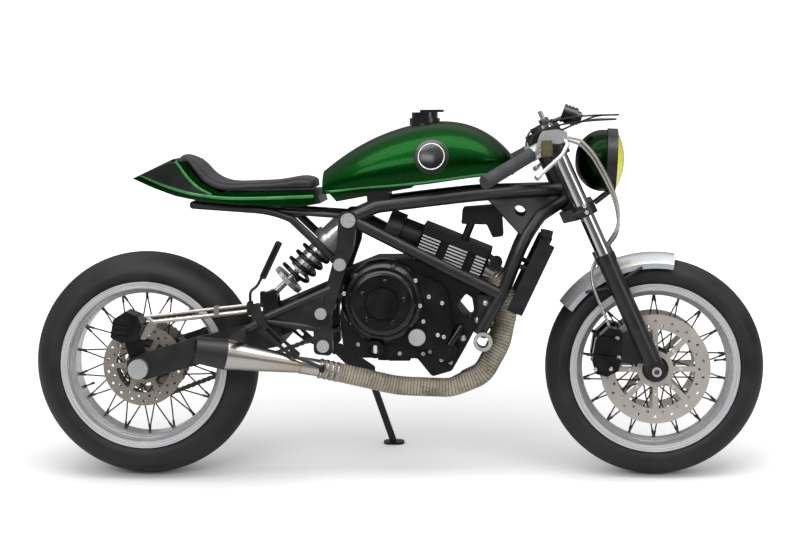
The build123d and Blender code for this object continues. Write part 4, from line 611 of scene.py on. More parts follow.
def make_finishes(look):
    """Every finish of the machine, by the name the pieces use."""
    EFFECT.update(grain=make_grain_group(), turned=make_turned_group(), flake=make_flake_group())
    front, rear = tuple(FRONT_AXLE), tuple(REAR_AXLE)
    rim = tuple(look.aluminium)
    return {
        "tank": green_paint(look, "Tank Lacquer", (0.808, 0.117, -0.105)),
        "tail": green_paint(look, "Tail Lacquer", (0.7905, 0.2103, 0.3582), -0.218),
        "bucket": green_paint(look, "Headlamp Lacquer", depth=0.3),
        # Light green: the tank's painted line, and painted highlights along the tail's bevel edges.
        "stripe_and_painted_highlight": lacquered_metal("Light Green Line And Painted Highlight", tuple(look.stripe_and_painted_highlight), 0.3, coat=0.4, strength=0.0),
        # Dark green-black: the badge pads, and painted shade on the tail hump's side.
        "shade": lacquered_metal("Black Green Badge Pad And Painted Shade", colour(0.003, 0.007, 0.004), 0.3, coat=0.4,
                                 strength=0.0),
        "head": finned_head(),
        "radiator": radiator_paint(look),
        "sight": lacquered_metal("Oil Sight Window", colour(0.75, 0.74, 0.66), 0.15, coat=0.8, strength=0.0),
        "satin": lacquered_metal("Satin Black Powder Coat", tuple(look.black), 0.38, 800.0, 0.05, 0.05),
        "gloss": lacquered_metal("Gloss Black Paint", colour(0.005, 0.005, 0.006), 0.2, 500.0, 0.02, 0.3),
        "engine": lacquered_metal("Black Engine Paint", colour(0.0025, 0.0025, 0.003), 0.24, 900.0, 0.08, 0.1,
                                  gloss=0.4),
        "cast": lacquered_metal("Rough Black Casting", colour(0.003, 0.003, 0.0035), 0.42, strength=0.3,
                                gloss=0.3),
        "dark": lacquered_metal("Dark Cast Metal", grey(0.05), 0.45, 420.0, 0.3, 0.0, 0.6),
        "rim_front": turned_metal("Front Rim Aluminium", rim, 0.24, front, 500.0),
        "rim_rear": turned_metal("Rear Rim Aluminium", rim, 0.24, rear, 500.0),
        "disc_front": turned_metal("Front Disc Steel", tuple(look.disc), 0.36, front, 1400.0, 0.1),
        "disc_rear": turned_metal("Rear Disc Steel", colour(0.36, 0.33, 0.28), 0.36, rear, 1400.0, 0.1),
        "tyre_front": tyre_rubber(look, "Front Tyre Rubber", front),
        "tyre_rear": tyre_rubber(look, "Rear Tyre Rubber", rear),
        "brushed": plain_metal("Brushed Aluminium Sheet", colour(0.86, 0.88, 0.91), 0.27, 8.0, 0.05,
                               (1, 0.1, 1), 0.6),
        "bright": plain_metal("Bright Machined Aluminium", grey(0.86), 0.24, metallic=0.7),
        "bolt": plain_metal("Zinc Bolt", colour(0.74, 0.74, 0.73), 0.3, metallic=0.7),
        "chrome": plain_metal("Hard Chrome", colour(0.66, 0.67, 0.69), 0.09, 6.0, 0.005),
        "steel": plain_metal("Stainless Steel", tuple(look.steel), 0.26, 10.0, 0.03, metallic=0.85),
        "silencer": silencer_metal(look),
        "chain": plain_metal("Oiled Chain Steel", colour(0.16, 0.14, 0.11), 0.42, 40.0, 0.1),
        "cap": plain_metal("Brushed Cap Face", grey(0.80), 0.27, 30.0, 0.08, (0.12, 0.12, 1), 0.7),
        "rubber": moulded("Black Moulded Rubber", colour(0.016, 0.016, 0.017), 0.55),
        "grip": moulded("Grey Grip Rubber", colour(0.045, 0.046, 0.050), 0.60, 0.3, 900.0),
        "plastic": moulded("Black Plastic", colour(0.012, 0.012, 0.013), 0.42),
        "vinyl": seat_vinyl(look),
        "wrap": wrap_cloth(look),
        "lens": yellow_lens(look),
        "pot": moulded("Fluid Pot Nylon", colour(0.10, 0.085, 0.035), 0.3, 0.03, 900.0),
    }


FINISH_NODES = {
    "satin": "main_frame subframe swingarm footrests fork_yokes fork_sliders headlamp_ring handlebars "
             "front_hub rear_hub side_stand",
    "bright": "shock_absorber pivot_bolt front_axle brake_lever clutch_lever oil_filler", "bolt": "rear_axle",
    "engine": "clutch_cover generator_cover rear_brake front_calipers", "cast": "engine_case",
    "gloss": "filler_cap shock_spring gauge", "steel": "exhaust_headers brake_hose torque_rods",
    "plastic": "ignition_coils rear_reservoir", "disc_rear": "rear_disc rear_sprocket",
    "chain": "chain output_sprocket", "dark": "throttle_bodies", "radiator": "radiator",
    "head": "cylinders", "silencer": "silencer",
    "tank": "fuel_tank", "tail": "tail_cowl", "vinyl": "seat_pad", "chrome": "fork_tubes",
    "bucket": "headlamp_shell", "lens": "headlamp_lens", "grip": "grips", "brushed": "front_fender",
    "tyre_front": "front_tyre", "tyre_rear": "rear_tyre", "rim_front": "front_rim", "rim_rear": "rear_rim",
    "disc_front": "front_discs", "cap": "frame_caps", "pot": "fluid_pot", "rubber": "throttle_cables",
}


# ---- pieces ----
SIDES = ((-1, "right"), (1, "left"))


def map_round(piece, lengths, columns):
    """UV map of a closed tube: u is the length run to each ring in metres, v goes from 0 to 1 round it, with
    no jump in the faces that close the ring."""
    mesh = piece.data
    layer = mesh.uv_layers.new(name="UVMap")
    index = np.zeros(len(mesh.loops), np.int32)
    starts, totals = np.zeros((2, len(mesh.polygons)), np.int32)
    mesh.loops.foreach_get("vertex_index", index)
    mesh.polygons.foreach_get("loop_start", starts)
    mesh.polygons.foreach_get("loop_total", totals)
    u = np.r_[np.repeat(lengths, columns), lengths[0], lengths[-1]]
    v = np.r_[np.tile(np.arange(columns) / columns, len(lengths)), 0, 0][index]
    highest = np.repeat(np.maximum.reduceat(v, starts), totals)
    v = np.where((highest > 0.75) & (v < 0.25), v + 1, v)
    layer.data.foreach_set("uv", np.stack([u[index], v], 1).astype(np.float32).ravel())


def seat_grid(rows, columns=72):
    """Seat pad points: cross sections from the nose to the hump's tip. Round a section, the breadth is
    cos(a)^0.42 and the height sin(a)^0.62 above with a soft crown, sin(a)^0.2 below, so it is flat there."""
    foot = even_path(
        [(-221, 0, 799), (-300, 0, 799), (-400, 0, 799), (-478, 0, 797), (-522, 0, 816), (-552, 0, 850),
         (-578, 0, 880), (-600, 0, 886)], rows
    )
    crest = even_path(
        [(-224, 0, 826), (-262, 0, 832), (-336, 0, 821), (-428, 0, 817), (-474, 0, 821), (-512, 0, 839),
         (-549, 0, 877), (-586, 0, 895)], rows
    )
    s = np.linspace(0, 1, rows)
    half = np.interp(s, [0, 0.03, 0.15, 0.5, 0.7, 0.85, 0.96, 1.0], [84, 92, 106, 111, 108, 98, 76, 58])
    a = np.linspace(0, 2 * np.pi, columns, endpoint=False)
    c, d = np.cos(a), np.sin(a)
    across = np.sign(c) * np.abs(c) ** 0.42
    lift = np.where(d > 0, np.abs(d) ** 0.62, -np.abs(d) ** 0.2)
    crown = 1 - 0.16 * across**2
    share = np.where(lift > 0, lift * crown, lift * 0.98)
    middle, reach = (foot + crest) / 2, (crest - foot) / 2
    points = middle[:, None] + reach[:, None] * share[None, :, None]
    points[..., 1] = half[:, None] * across[None] * (1 - 0.05 * np.clip(lift, 0, 1)[None])
    ends = np.clip(np.minimum(s, 1 - s) / 0.035, 0, 1)
    round_off = np.sqrt(1 - (1 - ends) ** 2) * 0.25 + 0.75
    centre = points.mean(1, keepdims=True)
    return centre + (points - centre) * round_off[:, None, None]


def make_seat(look):
    """The padded seat with its welts; it stands for the plain pad of the solid model."""
    points = seat_grid(look.seat_rows)
    columns = points.shape[1]
    seat = mesh_piece("seat_cover", *closed_tube(points), "frame", "seat_vinyl", "vinyl")
    map_round(seat, along(points.mean(1)) / 1000, columns)
    level = seat.modifiers.new("Smooth", "SUBSURF")
    level.levels = level.render_levels = 1
    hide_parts("seat_pad")
    for side, column in (("left", 7), ("right", columns // 2 - 7)):
        line = points[3:-3, column] + (0, 0, 0.6)
        welt = closed_tube(swept(even_path(line[::6], 90), np.full(90, 1.6), (0, 1, 0), 10))
        mesh_piece(f"seat_welt_{side}", *welt, "frame", "seat_vinyl", "vinyl")


def on_head(forward, y, up):
    """A point of the tilted cylinder head: along its length, across, and up its bores."""
    return HEAD_ORIGIN + forward * HEAD_ALONG + np.array([0, y, 0]) + up * HEAD_UP


def bent_path(points, radii, step=3.0):
    """Straight runs joined by tangent arcs: at each corner the arc starts r tan(turn / 2) before it."""
    points = [np.asarray(p, float) for p in points]
    pieces, last = [], points[0]
    for corner, before, after, radius in zip(points[1:-1], points[:-2], points[2:], radii):
        u, v = unit(before - corner), unit(after - corner)
        opening = math.acos(float(np.clip(u @ v, -1, 1)))
        back = radius / math.tan(opening / 2)
        start, end = corner + back * u, corner + back * v
        middle = corner + unit(u + v) * radius / math.sin(opening / 2)
        count = max(2, int(np.linalg.norm(start - last) / step))
        pieces.append(last + (start - last) * np.linspace(0, 1, count, endpoint=False)[:, None])
        sweep = math.pi - opening
        count = max(3, int(radius * sweep / step))
        t = np.linspace(0, 1, count, endpoint=False)[:, None]
        a, b = start - middle, end - middle
        pieces.append(middle + (np.sin((1 - t) * sweep) * a + np.sin(t * sweep) * b) / math.sin(sweep))
        last = end
    count = max(2, int(np.linalg.norm(points[-1] - last) / step))
    pieces.append(last + (points[-1] - last) * np.linspace(0, 1, count)[:, None])
    return np.vstack(pieces)


def header_paths():
    """Centre lines of the pipes from the head: the right one to the cone, the left one to the right one."""
    near = [on_head(93.3, -50, 6), on_head(139, -50, 6), (306, -60, 470), (284, -76, 372), (236, -88, 286),
            (150, -92, 252), (0, -94, 258), (-150, -115, 296), CONE_START - 42 * CONE_AXIS, CONE_START]
    far = [on_head(93.3, 50, 6), on_head(139, 50, 6), (300, 48, 470), (276, 20, 372), (232, -24, 290),
           (150, -60, 254)]
    return bent_path(near, [60, 110, 110, 80, 110, 260, 260, 100]), bent_path(far, [60, 100, 80, 60])


WRAP_RADIUS = 23.5
WRAP_SIDES = 32


def wrap_sleeve(name, path, radius, look):
    """Spiral cloth band: each turn is a rounded roll, r = R + h sqrt(4 f (1 - f)),
    f = frac(s / pitch - angle / 2 pi)."""
    length = along(path)[-1]
    s = np.linspace(0, length, int(length / 1.1))
    a = np.linspace(0, 2 * np.pi, WRAP_SIDES, endpoint=False)
    turn = (s[:, None] / look.wrap_pitch - a[None] / (2 * np.pi)) % 1.0
    wobble = 0.25 * np.sin(5 * a[None] + s[:, None] / 31) + 0.2 * np.sin(s[:, None] / 9 + 2 * a[None])
    radii = radius + 0.7 + 2.2 * np.sqrt(np.clip(4 * turn * (1 - turn), 0, 1)) + 0.5 * wobble
    edge = np.clip(np.minimum(s, length - s) / 6, 0, 1)[:, None]
    radii = radius - 1 + (radii - radius + 1) * np.sqrt(1 - (1 - edge) ** 2)
    sleeve = closed_tube(swept(sampled(path, s), radii, (0, 1, 0), WRAP_SIDES))
    piece = mesh_piece(name, *sleeve, "frame", "wrap", "wrap")
    map_round(piece, s / 1000, WRAP_SIDES)


def make_wrap(look):
    """Both wrapped header pipes, and the steel ties that end the wrap."""
    near, far = header_paths()
    wrap_sleeve("header_wrap_right", near[8:-16], WRAP_RADIUS, look)
    wrap_sleeve("header_wrap_left", far[8:-12], WRAP_RADIUS - 1, look)
    tie = [(WRAP_RADIUS + proud, height) for proud, height in ((1, -2.5), (4.2, -2.2), (4.2, 2.2), (1, 2.5))]
    spots = [12, -34, -29, -24, -19]
    ways = [near[index + 1] - near[index - 1] for index in spots]
    turned_piece("wrap_ties", tie, near[spots], ways, "frame", "steel", "steel", 40)


BADGE_PLACE = (101.0, 886.0)


def make_badge():
    """Plain round tank badges: a black disc in a thin silver ring on a dark pad, with nothing on them."""
    tree = solid_tree("fuel_tank")
    for side, label in SIDES:
        spots, normals = met_across(tree, [BADGE_PLACE], side)
        tilted = unit(normals[0])
        centre = spots[0] + 2.2 * tilted
        pad = [(46.0, 1.4), (47.5, 0.4), (47.0, -6.0)]
        disc = [(33.0, 3.0), (34.0, 2.4), (34.0, 0.0)]
        ring = [(33.4, 0.5), (33.4, 2.8), (34.2, 3.8), (35.8, 3.9), (36.6, 2.8), (36.6, 0.5)]
        turned_piece(f"badge_pad_{label}", pad, centre, tilted, "frame", "black_frame", "shade", 72)
        turned_piece(f"badge_disc_{label}", disc, centre, tilted, "frame", "black_frame", "gloss", 72)
        turned_piece(f"badge_ring_{label}", ring, centre, tilted, "frame", "aluminium", "bright", 72)


def painted_patch(name, tree, places, shape, side, finish, proud, thickness):
    """A thin painted patch on a solid's side: a grid of X and Z places carried onto it, a hair proud."""
    spots, normals = met_across(tree, places, side)
    faces = grid_faces(*shape, wrap_columns=False)[:, ::-side]
    piece = mesh_piece(name, spots + proud * unit(normals), faces, "frame", "green_paint", finish)
    solid = piece.modifiers.new("Thickness", "SOLIDIFY")
    solid.thickness, solid.offset = thickness, 0.0


def painted_band(name, tree, line, widths, side, count=90, proud=0.35):
    """A band of the given widths along the curve z(x)."""
    path = even_path([(x, 0, z) for x, z in line], count)
    across = np.linspace(-0.5, 0.5, 4)
    widths = np.interp(np.linspace(0, 1, count), np.linspace(0, 1, len(widths)), widths)
    slope = unit(np.gradient(path, axis=0))
    lift = np.stack([-slope[:, 2], np.zeros(count), slope[:, 0]], 1) * np.sign(slope[:, :1])
    grid = path[:, None] + lift[:, None] * (across[None] * widths[:, None])[..., None]
    painted_patch(name, tree, grid[..., [0, 2]].reshape(-1, 2), (count, 4), side, "stripe_and_painted_highlight", proud, 0.0008)


TANK_LINE = [(-190, 792), (-150, 795), (-86, 802), (31, 812), (132, 824), (226, 836), (286, 839)]
# The tail's two light lines are painted highlights along its bevel edges.
TAIL_LINE = [(-712, 836), (-619, 803), (-525, 783), (-420, 775), (-222, 779)]
TAIL_TOP = [(-736, 827), (-609, 883), (-580, 883)]
HUMP_LINE = [(-602, 878), (-570, 836), (-539, 806), (-500, 785)]


def tail_painted_shade(name, tree, side, count=70, rows=14):
    """Painted shade on the hump's side, a dark sheet between the tail's two light lines: at each X, points
    from the lower line up to the hump's line or the cowl's top edge, whichever is lower."""
    x = np.linspace(-704, -508, count)
    low, top, hump = (np.interp(x, *np.transpose(line)) for line in (TAIL_LINE, TAIL_TOP, HUMP_LINE))
    height = np.maximum(np.minimum(top, hump) - 3 - (low + 2), 0.2)
    z = low[:, None] + 2 + height[:, None] * np.linspace(0, 1, rows)[None]
    painted_patch(name, tree, np.stack([np.repeat(x, rows), z.ravel()], 1), (count, rows), side, "shade", 0.2,
                  0.0004)


def make_lines():
    """A light line painted along the tank; on the tail cowl, two light lines that are painted highlights on
    the side's bevel edges, and painted shade between them.
    """
    tank, tail = solid_tree("fuel_tank"), solid_tree("tail_cowl")
    for side, label in SIDES:
        # Painted shade: a dark sheet on the hump's side between its two painted highlights.
        tail_painted_shade(f"tail_painted_shade_{label}", tail, side)
        painted_band(f"tank_line_{label}", tank, TANK_LINE, [5.5], side)
        # Painted highlights: light caught on the tail's bevel edges, drawn as light green bands.
        painted_band(f"tail_edge_highlight_{label}", tail, TAIL_LINE, [3, 7, 8, 8, 8], side)
        painted_band(f"hump_edge_highlight_{label}", tail, HUMP_LINE, [6, 7, 7, 5], side, 40, 0.5)


# ---- fasteners and small fittings ----
def pill(name, centre, half_width, half_height, proud, body, slot, finish):
    """A flat upright pill on the right side: two half circles joined by straight sides, given a thickness."""
    a = np.linspace(0, np.pi, 12)
    arc = np.stack([half_width * np.cos(a), half_width * np.sin(a)], 1)
    outline = np.vstack([arc + (0, half_height - half_width), -arc - (0, half_height - half_width)])
    count = len(outline)
    rows = [centre + np.stack([outline[:, 0], np.full(count, y), outline[:, 1]], 1) for y in (0.0, -proud)]
    faces = grid_faces(2, count).tolist() + [list(range(count))[::-1], list(range(count, 2 * count))]
    mesh_piece(name, np.vstack(rows), faces, body, slot, finish, False)


ENGINE_SCREWS = [
    (55, 552), (67, 484), (75, 440), (72, 347), (8, 348), (-106, 373), (-139, 517), (90, 507), (126, 490),
    (114, 403), (130, 398), (123, 334), (147, 323), (91, 353),
]
MOUNT_BOLTS = [(244, 488), (222, 439), (181, 390)]
COVER_BOSSES = [(-5, 588), (-107, 564), (-122, 434)]
CALIPER_SCREWS = [(600, 390), (604, 338), (582, 306), (540, 304)]
YOKE_SCREWS = [(510, 750), (516, 733)]
CLUTCH = (-34.0, 494.0)
GENERATOR = (8, 480)
OIL_SIGHT = (-56.0, 365.0)


def make_fasteners():
    """Screws and bolts of the engine, the frame, the brakes and the hubs, each set on its solid."""
    engine = solid_tree(
        "engine_case", "clutch_cover", "generator_cover", "cylinders", "main_frame", "footrests"
    )
    small = socket_head(5.6, 5.0)
    screws("engine_screws_right", engine, ENGINE_SCREWS, small)
    for side, label in SIDES:
        screws(f"mount_bolts_{label}", engine, MOUNT_BOLTS, hex_head(8.0, 7.0), side=side)
    screws("clutch_studs", engine, round_places(CLUTCH, 59.0, range(10, 370, 72)), hex_head(6.5, 4.0),
           slot="black_frame", finish="engine")
    screws("left_cover_screws", engine, round_places(GENERATOR, 78.0, range(15, 375, 45)), small, side=1)
    spots, _ = met_across(engine, [OIL_SIGHT])
    turned_piece("oil_sight", [(15.0, 1.0), (16.0, 0.6), (16.5, -2)], spots, (0, -1, 0), "frame",
                 "black_frame", "gloss", 32)
    pill("oil_window", spots[0] - (0, 1.0, 0), 5.0, 11.5, 1.2, "frame", "aluminium", "sight")
    screws("boss_screws", engine, COVER_BOSSES, hex_head(7.0, 5.0), slot="black_frame", finish="dark")
    for name, nodes, places in (("caliper", ("front_calipers", "fork_sliders"), CALIPER_SCREWS),
                                ("yoke", ("fork_yokes", "fork_tubes"), YOKE_SCREWS)):
        for side, label in SIDES:
            screws(f"{name}_screws_{label}", solid_tree(*nodes), places, small, "steering", side=side)
    ring = round_places(FRONT_AXLE[::2], 69.0, range(0, 360, 45))
    for side, label in SIDES:
        screws(f"front_disc_screws_{label}", solid_tree("front_discs"), ring, socket_head(4.6, 3.0),
               "front_wheel", finish="bright", side=side, sides=12)
    nuts = round_places(REAR_AXLE[::2], 52.0, range(0, 360, 72))
    screws("sprocket_nuts", solid_tree("rear_sprocket"), nuts, hex_head(7.5, 7.0), "rear_wheel", side=1,
           sides=12)


CHAIN_LINKS = 104
CHAIN_Y = 101.0
REAR_PITCH_RADIUS, FRONT_PITCH_RADIUS = 113.0, 40.0
FRONT_SPROCKET = np.array([-135.0, 450.0])


def chain_line(count):
    """Pin centres, spread evenly along two tangents and two arcs round the sprockets."""
    rear = REAR_AXLE[::2]
    run = FRONT_SPROCKET - rear
    tilt = math.atan2(run[1], run[0])
    spread = math.acos((REAR_PITCH_RADIUS - FRONT_PITCH_RADIUS) / np.linalg.norm(run))
    over = np.linspace(tilt + spread, tilt - spread, 60)
    under = np.linspace(tilt - spread, tilt + spread - 2 * math.pi, 120)
    front_arc = FRONT_SPROCKET + FRONT_PITCH_RADIUS * np.stack([np.cos(over), np.sin(over)], 1)
    rear_arc = rear + REAR_PITCH_RADIUS * np.stack([np.cos(under), np.sin(under)], 1)
    loop = np.vstack([front_arc, rear_arc, front_arc[:1]])
    return sampled(loop, np.arange(count) * along(loop)[-1] / count)


def plate_outline(length, end, waist, steps=5):
    """Side plate of a link: two round ends of one radius joined by a narrower waist."""
    a = np.linspace(-0.62, 0.62, steps) * np.pi
    right = np.stack([length / 2 + end * np.cos(a), end * np.sin(a)], 1)
    return np.vstack([right, [(0.0, waist)], -right, [(0.0, -waist)]])


def make_chain():
    """Roller chain: each link has two side plates, wide and narrow in turn, a roller and a pin head."""
    pins = chain_line(CHAIN_LINKS)
    ahead = np.roll(pins, -1, 0) - pins
    way = unit(ahead)
    middle = (pins + np.roll(pins, -1, 0)) / 2
    outline = plate_outline(np.linalg.norm(ahead, axis=1).mean(), 7.0, 4.6)
    corners = len(outline)
    shapes = []
    side_quads = grid_faces(2, corners).tolist()
    caps = [list(range(corners))[::-1], list(range(corners, 2 * corners))]
    flat = (middle[:, None] + outline[None, :, :1] * way[:, None]
            + outline[None, :, 1:] * np.stack([-way[:, 1], way[:, 0]], 1)[:, None])
    for number in range(CHAIN_LINKS):
        low, high = (6.4, 8.4) if number % 2 else (4.0, 6.0)
        for side in (-1, 1):
            y = [CHAIN_Y + side * low, CHAIN_Y + side * high]
            rows = [np.insert(flat[number], 1, value, axis=1) for value in (y if side > 0 else y[::-1])]
            shapes.append((np.vstack(rows), side_quads + caps))
    places = np.stack([pins[:, 0], np.full(CHAIN_LINKS, CHAIN_Y), pins[:, 1]], 1)
    half = [(2.0, 9.0), (2.6, 8.8), (2.6, 4.0), (5.0, 3.8)]
    roller = half + [(radius, -height) for radius, height in half[::-1]]
    shapes += [closed_tube(turned(roller, spot, (0, 1, 0), 8)) for spot in places]
    chain = mesh_piece("chain_links", *joined(shapes), "frame", "chain_steel", "chain", False)
    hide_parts("chain")


VALVE_RADIUS = 199.5


def make_fittings():
    """Valve stems of both wheels."""
    stem = [(2.6, 34), (3.4, 33), (3.4, 26), (2.4, 25), (2.4, 8), (4.2, 7), (4.2, 0)]
    for end, axle, degrees in (("front", FRONT_AXLE, 5.0), ("rear", REAR_AXLE, 201.0)):
        a = math.radians(degrees)
        inward = -np.array([math.cos(a), 0.0, math.sin(a)])
        turned_piece(f"{end}_valve", stem, axle - VALVE_RADIUS * inward, inward, f"{end}_wheel", "rubber",
                     "rubber", 12)


# ---- stage ----
CAMERA_PLACE = (335, -5500, 1058)
CAMERA_YAW, CAMERA_PITCH, CAMERA_ROLL = (math.radians(a) for a in (3.44, 5.04, -0.5))
SENSOR_WIDTH, FOCAL_LENGTH = 36.0, 89.7
FLOOR_CORNERS = [(-40, -40, 0), (40, -40, 0), (40, 60, 0), (-40, 60, 0)]
AIM = (0, 0, 0.5)


def make_stage(look):
    """Pale floor, its seen glow dimmed by ambient occlusion near the machine as a painted contact shadow;
    soft lamps and the camera.
    """
    scene = bpy.context.scene
    mesh = bpy.data.meshes.new("floor")
    mesh.from_pydata(FLOOR_CORNERS, [], [(0, 1, 2, 3)])
    floor = bpy.data.objects.new("floor", mesh)
    scene.collection.objects.link(floor)
    material, graph = start_finish("Pale Floor", Roughness=0.9, Specular_IOR_Level=0.0,
                                   Base_Color=grey(look.floor),
                                   Emission_Color=grey(1))
    path = graph.node("LightPath").outputs
    # Painted shadow: the glow seen on the floor is dimmed where ambient occlusion finds the machine close by.
    open_air = graph.node("AmbientOcclusion", {"Distance": 0.28}, samples=8).outputs["AO"]
    near = graph.maths("MULTIPLY", open_air, look.floor_glow)
    glow = graph.ranged(graph.length(graph.place()), 0.9, 2.6, near, 1.0)
    graph.feed(Emission_Strength=graph.maths("MULTIPLY", path["Is Camera Ray"], glow))
    mesh.materials.append(material)

    world = bpy.data.worlds.new("Studio")
    scene.world = world
    world.use_nodes = True
    world.node_tree.nodes.clear()
    graph = Graph(world.node_tree, world.node_tree.nodes.new("ShaderNodeOutputWorld"))
    path = graph.node("LightPath").outputs
    way = graph.split(graph.node("TexCoord").outputs["Generated"])
    sky = graph.ranged(way[2], 0.25, 0.75, look.room_dim, look.room_shine, "SMOOTHSTEP")
    shine = graph.maths("MULTIPLY", path["Is Glossy Ray"], sky)
    base = graph.maths("MULTIPLY", path["Is Diffuse Ray"], look.room_light)
    seen = graph.maths("MAXIMUM", path["Is Camera Ray"], path["Is Transmission Ray"])
    strength = graph.maths("MAXIMUM", seen, graph.maths("MAXIMUM", base, shine))
    sky = graph.node("Background", {"Color": grey(1), "Strength": strength})
    graph.feed(Surface=sky.outputs["Background"])

    for name, spot, aim, size, power in (
        ("softbox_top", (0.1, -0.7, 3.2), AIM, (4.4, 1.5), look.top_light),
        ("softbox_side", (-1.6, -3.6, 3.0), AIM, (2.6, 1.2), look.side_light),
        ("softbox_front", (3.2, -2.4, 1.8), (0.4, 0, 0.5), (1.4, 1.4), look.front_light),
    ):
        lamp = bpy.data.lights.new(name, "AREA")
        lamp.shape, lamp.size, lamp.size_y, lamp.energy = "RECTANGLE", size[0], size[1], power
        holder = bpy.data.objects.new(name, lamp)
        holder.location = spot
        way = np.array(aim) - np.array(spot)
        holder.rotation_euler = Vector(way).to_track_quat("-Z", "Y").to_euler()
        scene.collection.objects.link(holder)

    yaw, pitch, roll = CAMERA_YAW, CAMERA_PITCH, CAMERA_ROLL
    ahead = np.array([-math.sin(yaw) * math.cos(pitch), math.cos(yaw) * math.cos(pitch), -math.sin(pitch)])
    right = np.array([math.cos(yaw), math.sin(yaw), 0])
    up = np.cross(right, ahead)
    right, up = right * math.cos(roll) + up * math.sin(roll), up * math.cos(roll) - right * math.sin(roll)
    lens = bpy.data.cameras.new("camera")
    lens.sensor_width, lens.lens = SENSOR_WIDTH, FOCAL_LENGTH
    lens.clip_start, lens.clip_end = 0.1, 100
    camera = bpy.data.objects.new("camera", lens)
    scene.collection.objects.link(camera)
    axes = np.eye(4)
    axes[:3, 0], axes[:3, 1], axes[:3, 2] = TURN @ right, TURN @ up, TURN @ -ahead
    axes[:3, 3] = parked(CAMERA_PLACE)
    camera.matrix_world = Matrix(axes.tolist())
    scene.camera = camera
    scene.view_settings.view_transform = "Standard"


# ---- add-on ----
def tint(name, description, default):
    return bpy.props.FloatVectorProperty(name=name, description=description, default=default, size=4, min=0,
                                         max=1, subtype="COLOR")


def amount(name, description, default, low, high, unit="NONE"):
    return bpy.props.FloatProperty(name=name, description=description, default=default, min=low, max=high,
                                   unit=unit)


class CafeRacerLook(bpy.types.PropertyGroup):
    """Sizes and colours that a user may change."""

    green_deep: tint("Deep Green", "Lacquer in the shade", (0.0, 0.018, 0.0015, 1))
    green_body: tint("Body Green", "Lacquer in the light", (0.0, 0.048, 0.004, 1))
    green_flake: tint("Flake Green", "Colour of the metal flake", (0.001, 0.13, 0.010, 1))
    # The light lines: the tank's painted line, and the tail's painted highlights on its bevel edges.
    stripe_and_painted_highlight: tint("Line Green", "Colour of the light line", (0.022, 0.20, 0.045, 1))
    black: tint("Satin Black", "Powder coat of the frame", (0.008, 0.008, 0.009, 1))
    aluminium: tint("Rim Aluminium", "Polished rims", (0.86, 0.87, 0.90, 1))
    disc: tint("Disc Steel", "Brake discs", (0.62, 0.58, 0.53, 1))
    steel: tint("Stainless Steel", "Pipes and ties", (0.56, 0.53, 0.50, 1))
    tyre: tint("Tyre Rubber", "Slick tyres", (0.017, 0.017, 0.018, 1))
    seat: tint("Seat Vinyl", "Seat cover", (0.022, 0.022, 0.024, 1))
    wrap: tint("Wrap Khaki", "Clean heat wrap", (0.56, 0.50, 0.39, 1))
    wrap_dark: tint("Wrap Stain", "Stained heat wrap", (0.20, 0.155, 0.095, 1))
    lens: tint("Lens Yellow", "Upper half of the lamp glass", (0.50, 0.47, 0.01, 1))
    lens_low: tint("Lens Yellow Low", "Lower half of the lamp glass", (0.76, 0.72, 0.012, 1))
    wrap_pitch: amount("Wrap Pitch", "Millimetres along the pipe for one turn", 8.6, 5, 40)
    seat_rows: bpy.props.IntProperty(name="Seat Rows", description="Cross sections of the seat", default=90,
                                     min=30, max=240)
    floor: amount("Floor Grey", "Floor's reflectance", 0.84, 0, 1)
    floor_glow: amount("Floor Glow", "Light added to the seen floor", 0.42, 0, 1)
    room_light: amount("Room Light", "Even light from all round", 0.34, 0, 2)
    room_shine: amount("Room Shine", "Brightness reflected from overhead", 0.95, 0, 2)
    room_dim: amount("Room Dim", "Brightness reflected from the sides", 0.16, 0, 2)
    top_light: amount("Top Light", "Watts of the overhead softbox", 70.0, 0, 1000, "POWER")
    side_light: amount("Side Light", "Watts of the softbox on the right", 45.0, 0, 1000, "POWER")
    front_light: amount("Front Light", "Watts of the softbox ahead", 18.0, 0, 1000, "POWER")


class CAFERACER_OT_finishes(bpy.types.Operator):
    """Builds every finish and puts each on its solid pieces"""

    bl_idname = "caferacer.finishes"
    bl_label = "Finishes"

    def execute(self, context):
        FINISH.update(make_finishes(context.scene.cafe_racer))
        for finish, names in FINISH_NODES.items():
            for name in names.split():
                slots = frame["nodes"][name].data.materials
                slots.clear()
                slots.append(FINISH[finish])
        return {"FINISHED"}


class CAFERACER_OT_seat(bpy.types.Operator):
    """Makes the padded seat cover"""

    bl_idname = "caferacer.seat"
    bl_label = "Seat"

    def execute(self, context):
        make_seat(context.scene.cafe_racer)
        return {"FINISHED"}


class CAFERACER_OT_wrap(bpy.types.Operator):
    """Makes the wrap on the exhaust pipes"""

    bl_idname = "caferacer.wrap"
    bl_label = "Exhaust Wrap"

    def execute(self, context):
        make_wrap(context.scene.cafe_racer)
        return {"FINISHED"}


class CAFERACER_OT_badge(bpy.types.Operator):
    """Makes the plain tank badges"""

    bl_idname = "caferacer.badge"
    bl_label = "Tank Badges"

    def execute(self, context):
        make_badge()
        return {"FINISHED"}


class CAFERACER_OT_lines(bpy.types.Operator):
    """Paints the light line on the tank, and on the tail the painted highlights along its edges with painted
    shade between them
    """

    bl_idname = "caferacer.lines"
    bl_label = "Painted Lines"

    def execute(self, context):
        make_lines()
        return {"FINISHED"}


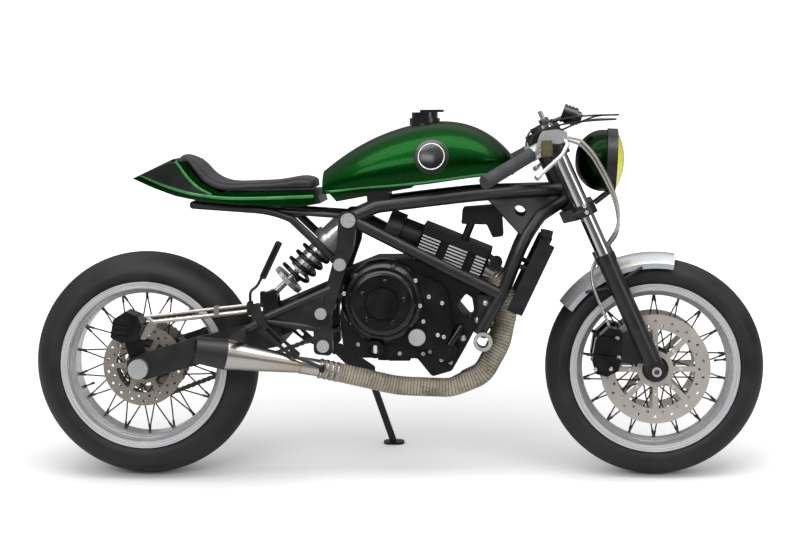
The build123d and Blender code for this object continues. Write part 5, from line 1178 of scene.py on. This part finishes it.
class CAFERACER_OT_fasteners(bpy.types.Operator):
    """Sets the screws and bolts on their solids"""

    bl_idname = "caferacer.fasteners"
    bl_label = "Fasteners"

    def execute(self, context):
        make_fasteners()
        return {"FINISHED"}


class CAFERACER_OT_chain(bpy.types.Operator):
    """Builds the roller chain link by link"""

    bl_idname = "caferacer.chain"
    bl_label = "Roller Chain"

    def execute(self, context):
        make_chain()
        return {"FINISHED"}


class CAFERACER_OT_fittings(bpy.types.Operator):
    """Makes the valve stems"""

    bl_idname = "caferacer.fittings"
    bl_label = "Wheel Fittings"

    def execute(self, context):
        make_fittings()
        return {"FINISHED"}


class CAFERACER_OT_stage(bpy.types.Operator):
    """Makes the floor, the lamps and the camera"""

    bl_idname = "caferacer.stage"
    bl_label = "Stage"

    def execute(self, context):
        make_stage(context.scene.cafe_racer)
        return {"FINISHED"}


STEPS = (
    CAFERACER_OT_finishes, CAFERACER_OT_seat, CAFERACER_OT_wrap, CAFERACER_OT_badge, CAFERACER_OT_lines,
    CAFERACER_OT_fasteners, CAFERACER_OT_chain, CAFERACER_OT_fittings, CAFERACER_OT_stage,
)


class CAFERACER_PT_panel(bpy.types.Panel):
    """Lists the steps that dress the motorcycle"""

    bl_idname = "CAFERACER_PT_panel"
    bl_label = "Cafe Racer"
    bl_space_type = "VIEW_3D"
    bl_region_type = "UI"
    bl_category = "Cafe Racer"

    def draw(self, context):
        for step in STEPS:
            self.layout.operator(step.bl_idname)
        for name in CafeRacerLook.__annotations__:
            self.layout.prop(context.scene.cafe_racer, name)


CLASSES = (CafeRacerLook, *STEPS, CAFERACER_PT_panel)


def register():
    for cls in CLASSES:
        bpy.utils.register_class(cls)
    bpy.types.Scene.cafe_racer = bpy.props.PointerProperty(type=CafeRacerLook)


def unregister():
    del bpy.types.Scene.cafe_racer
    for cls in reversed(CLASSES):
        bpy.utils.unregister_class(cls)


def main():
    register()
    for step in STEPS:
        group, name = step.bl_idname.split(".")
        getattr(getattr(bpy.ops, group), name)()


if __name__ == "__main__":
    main()
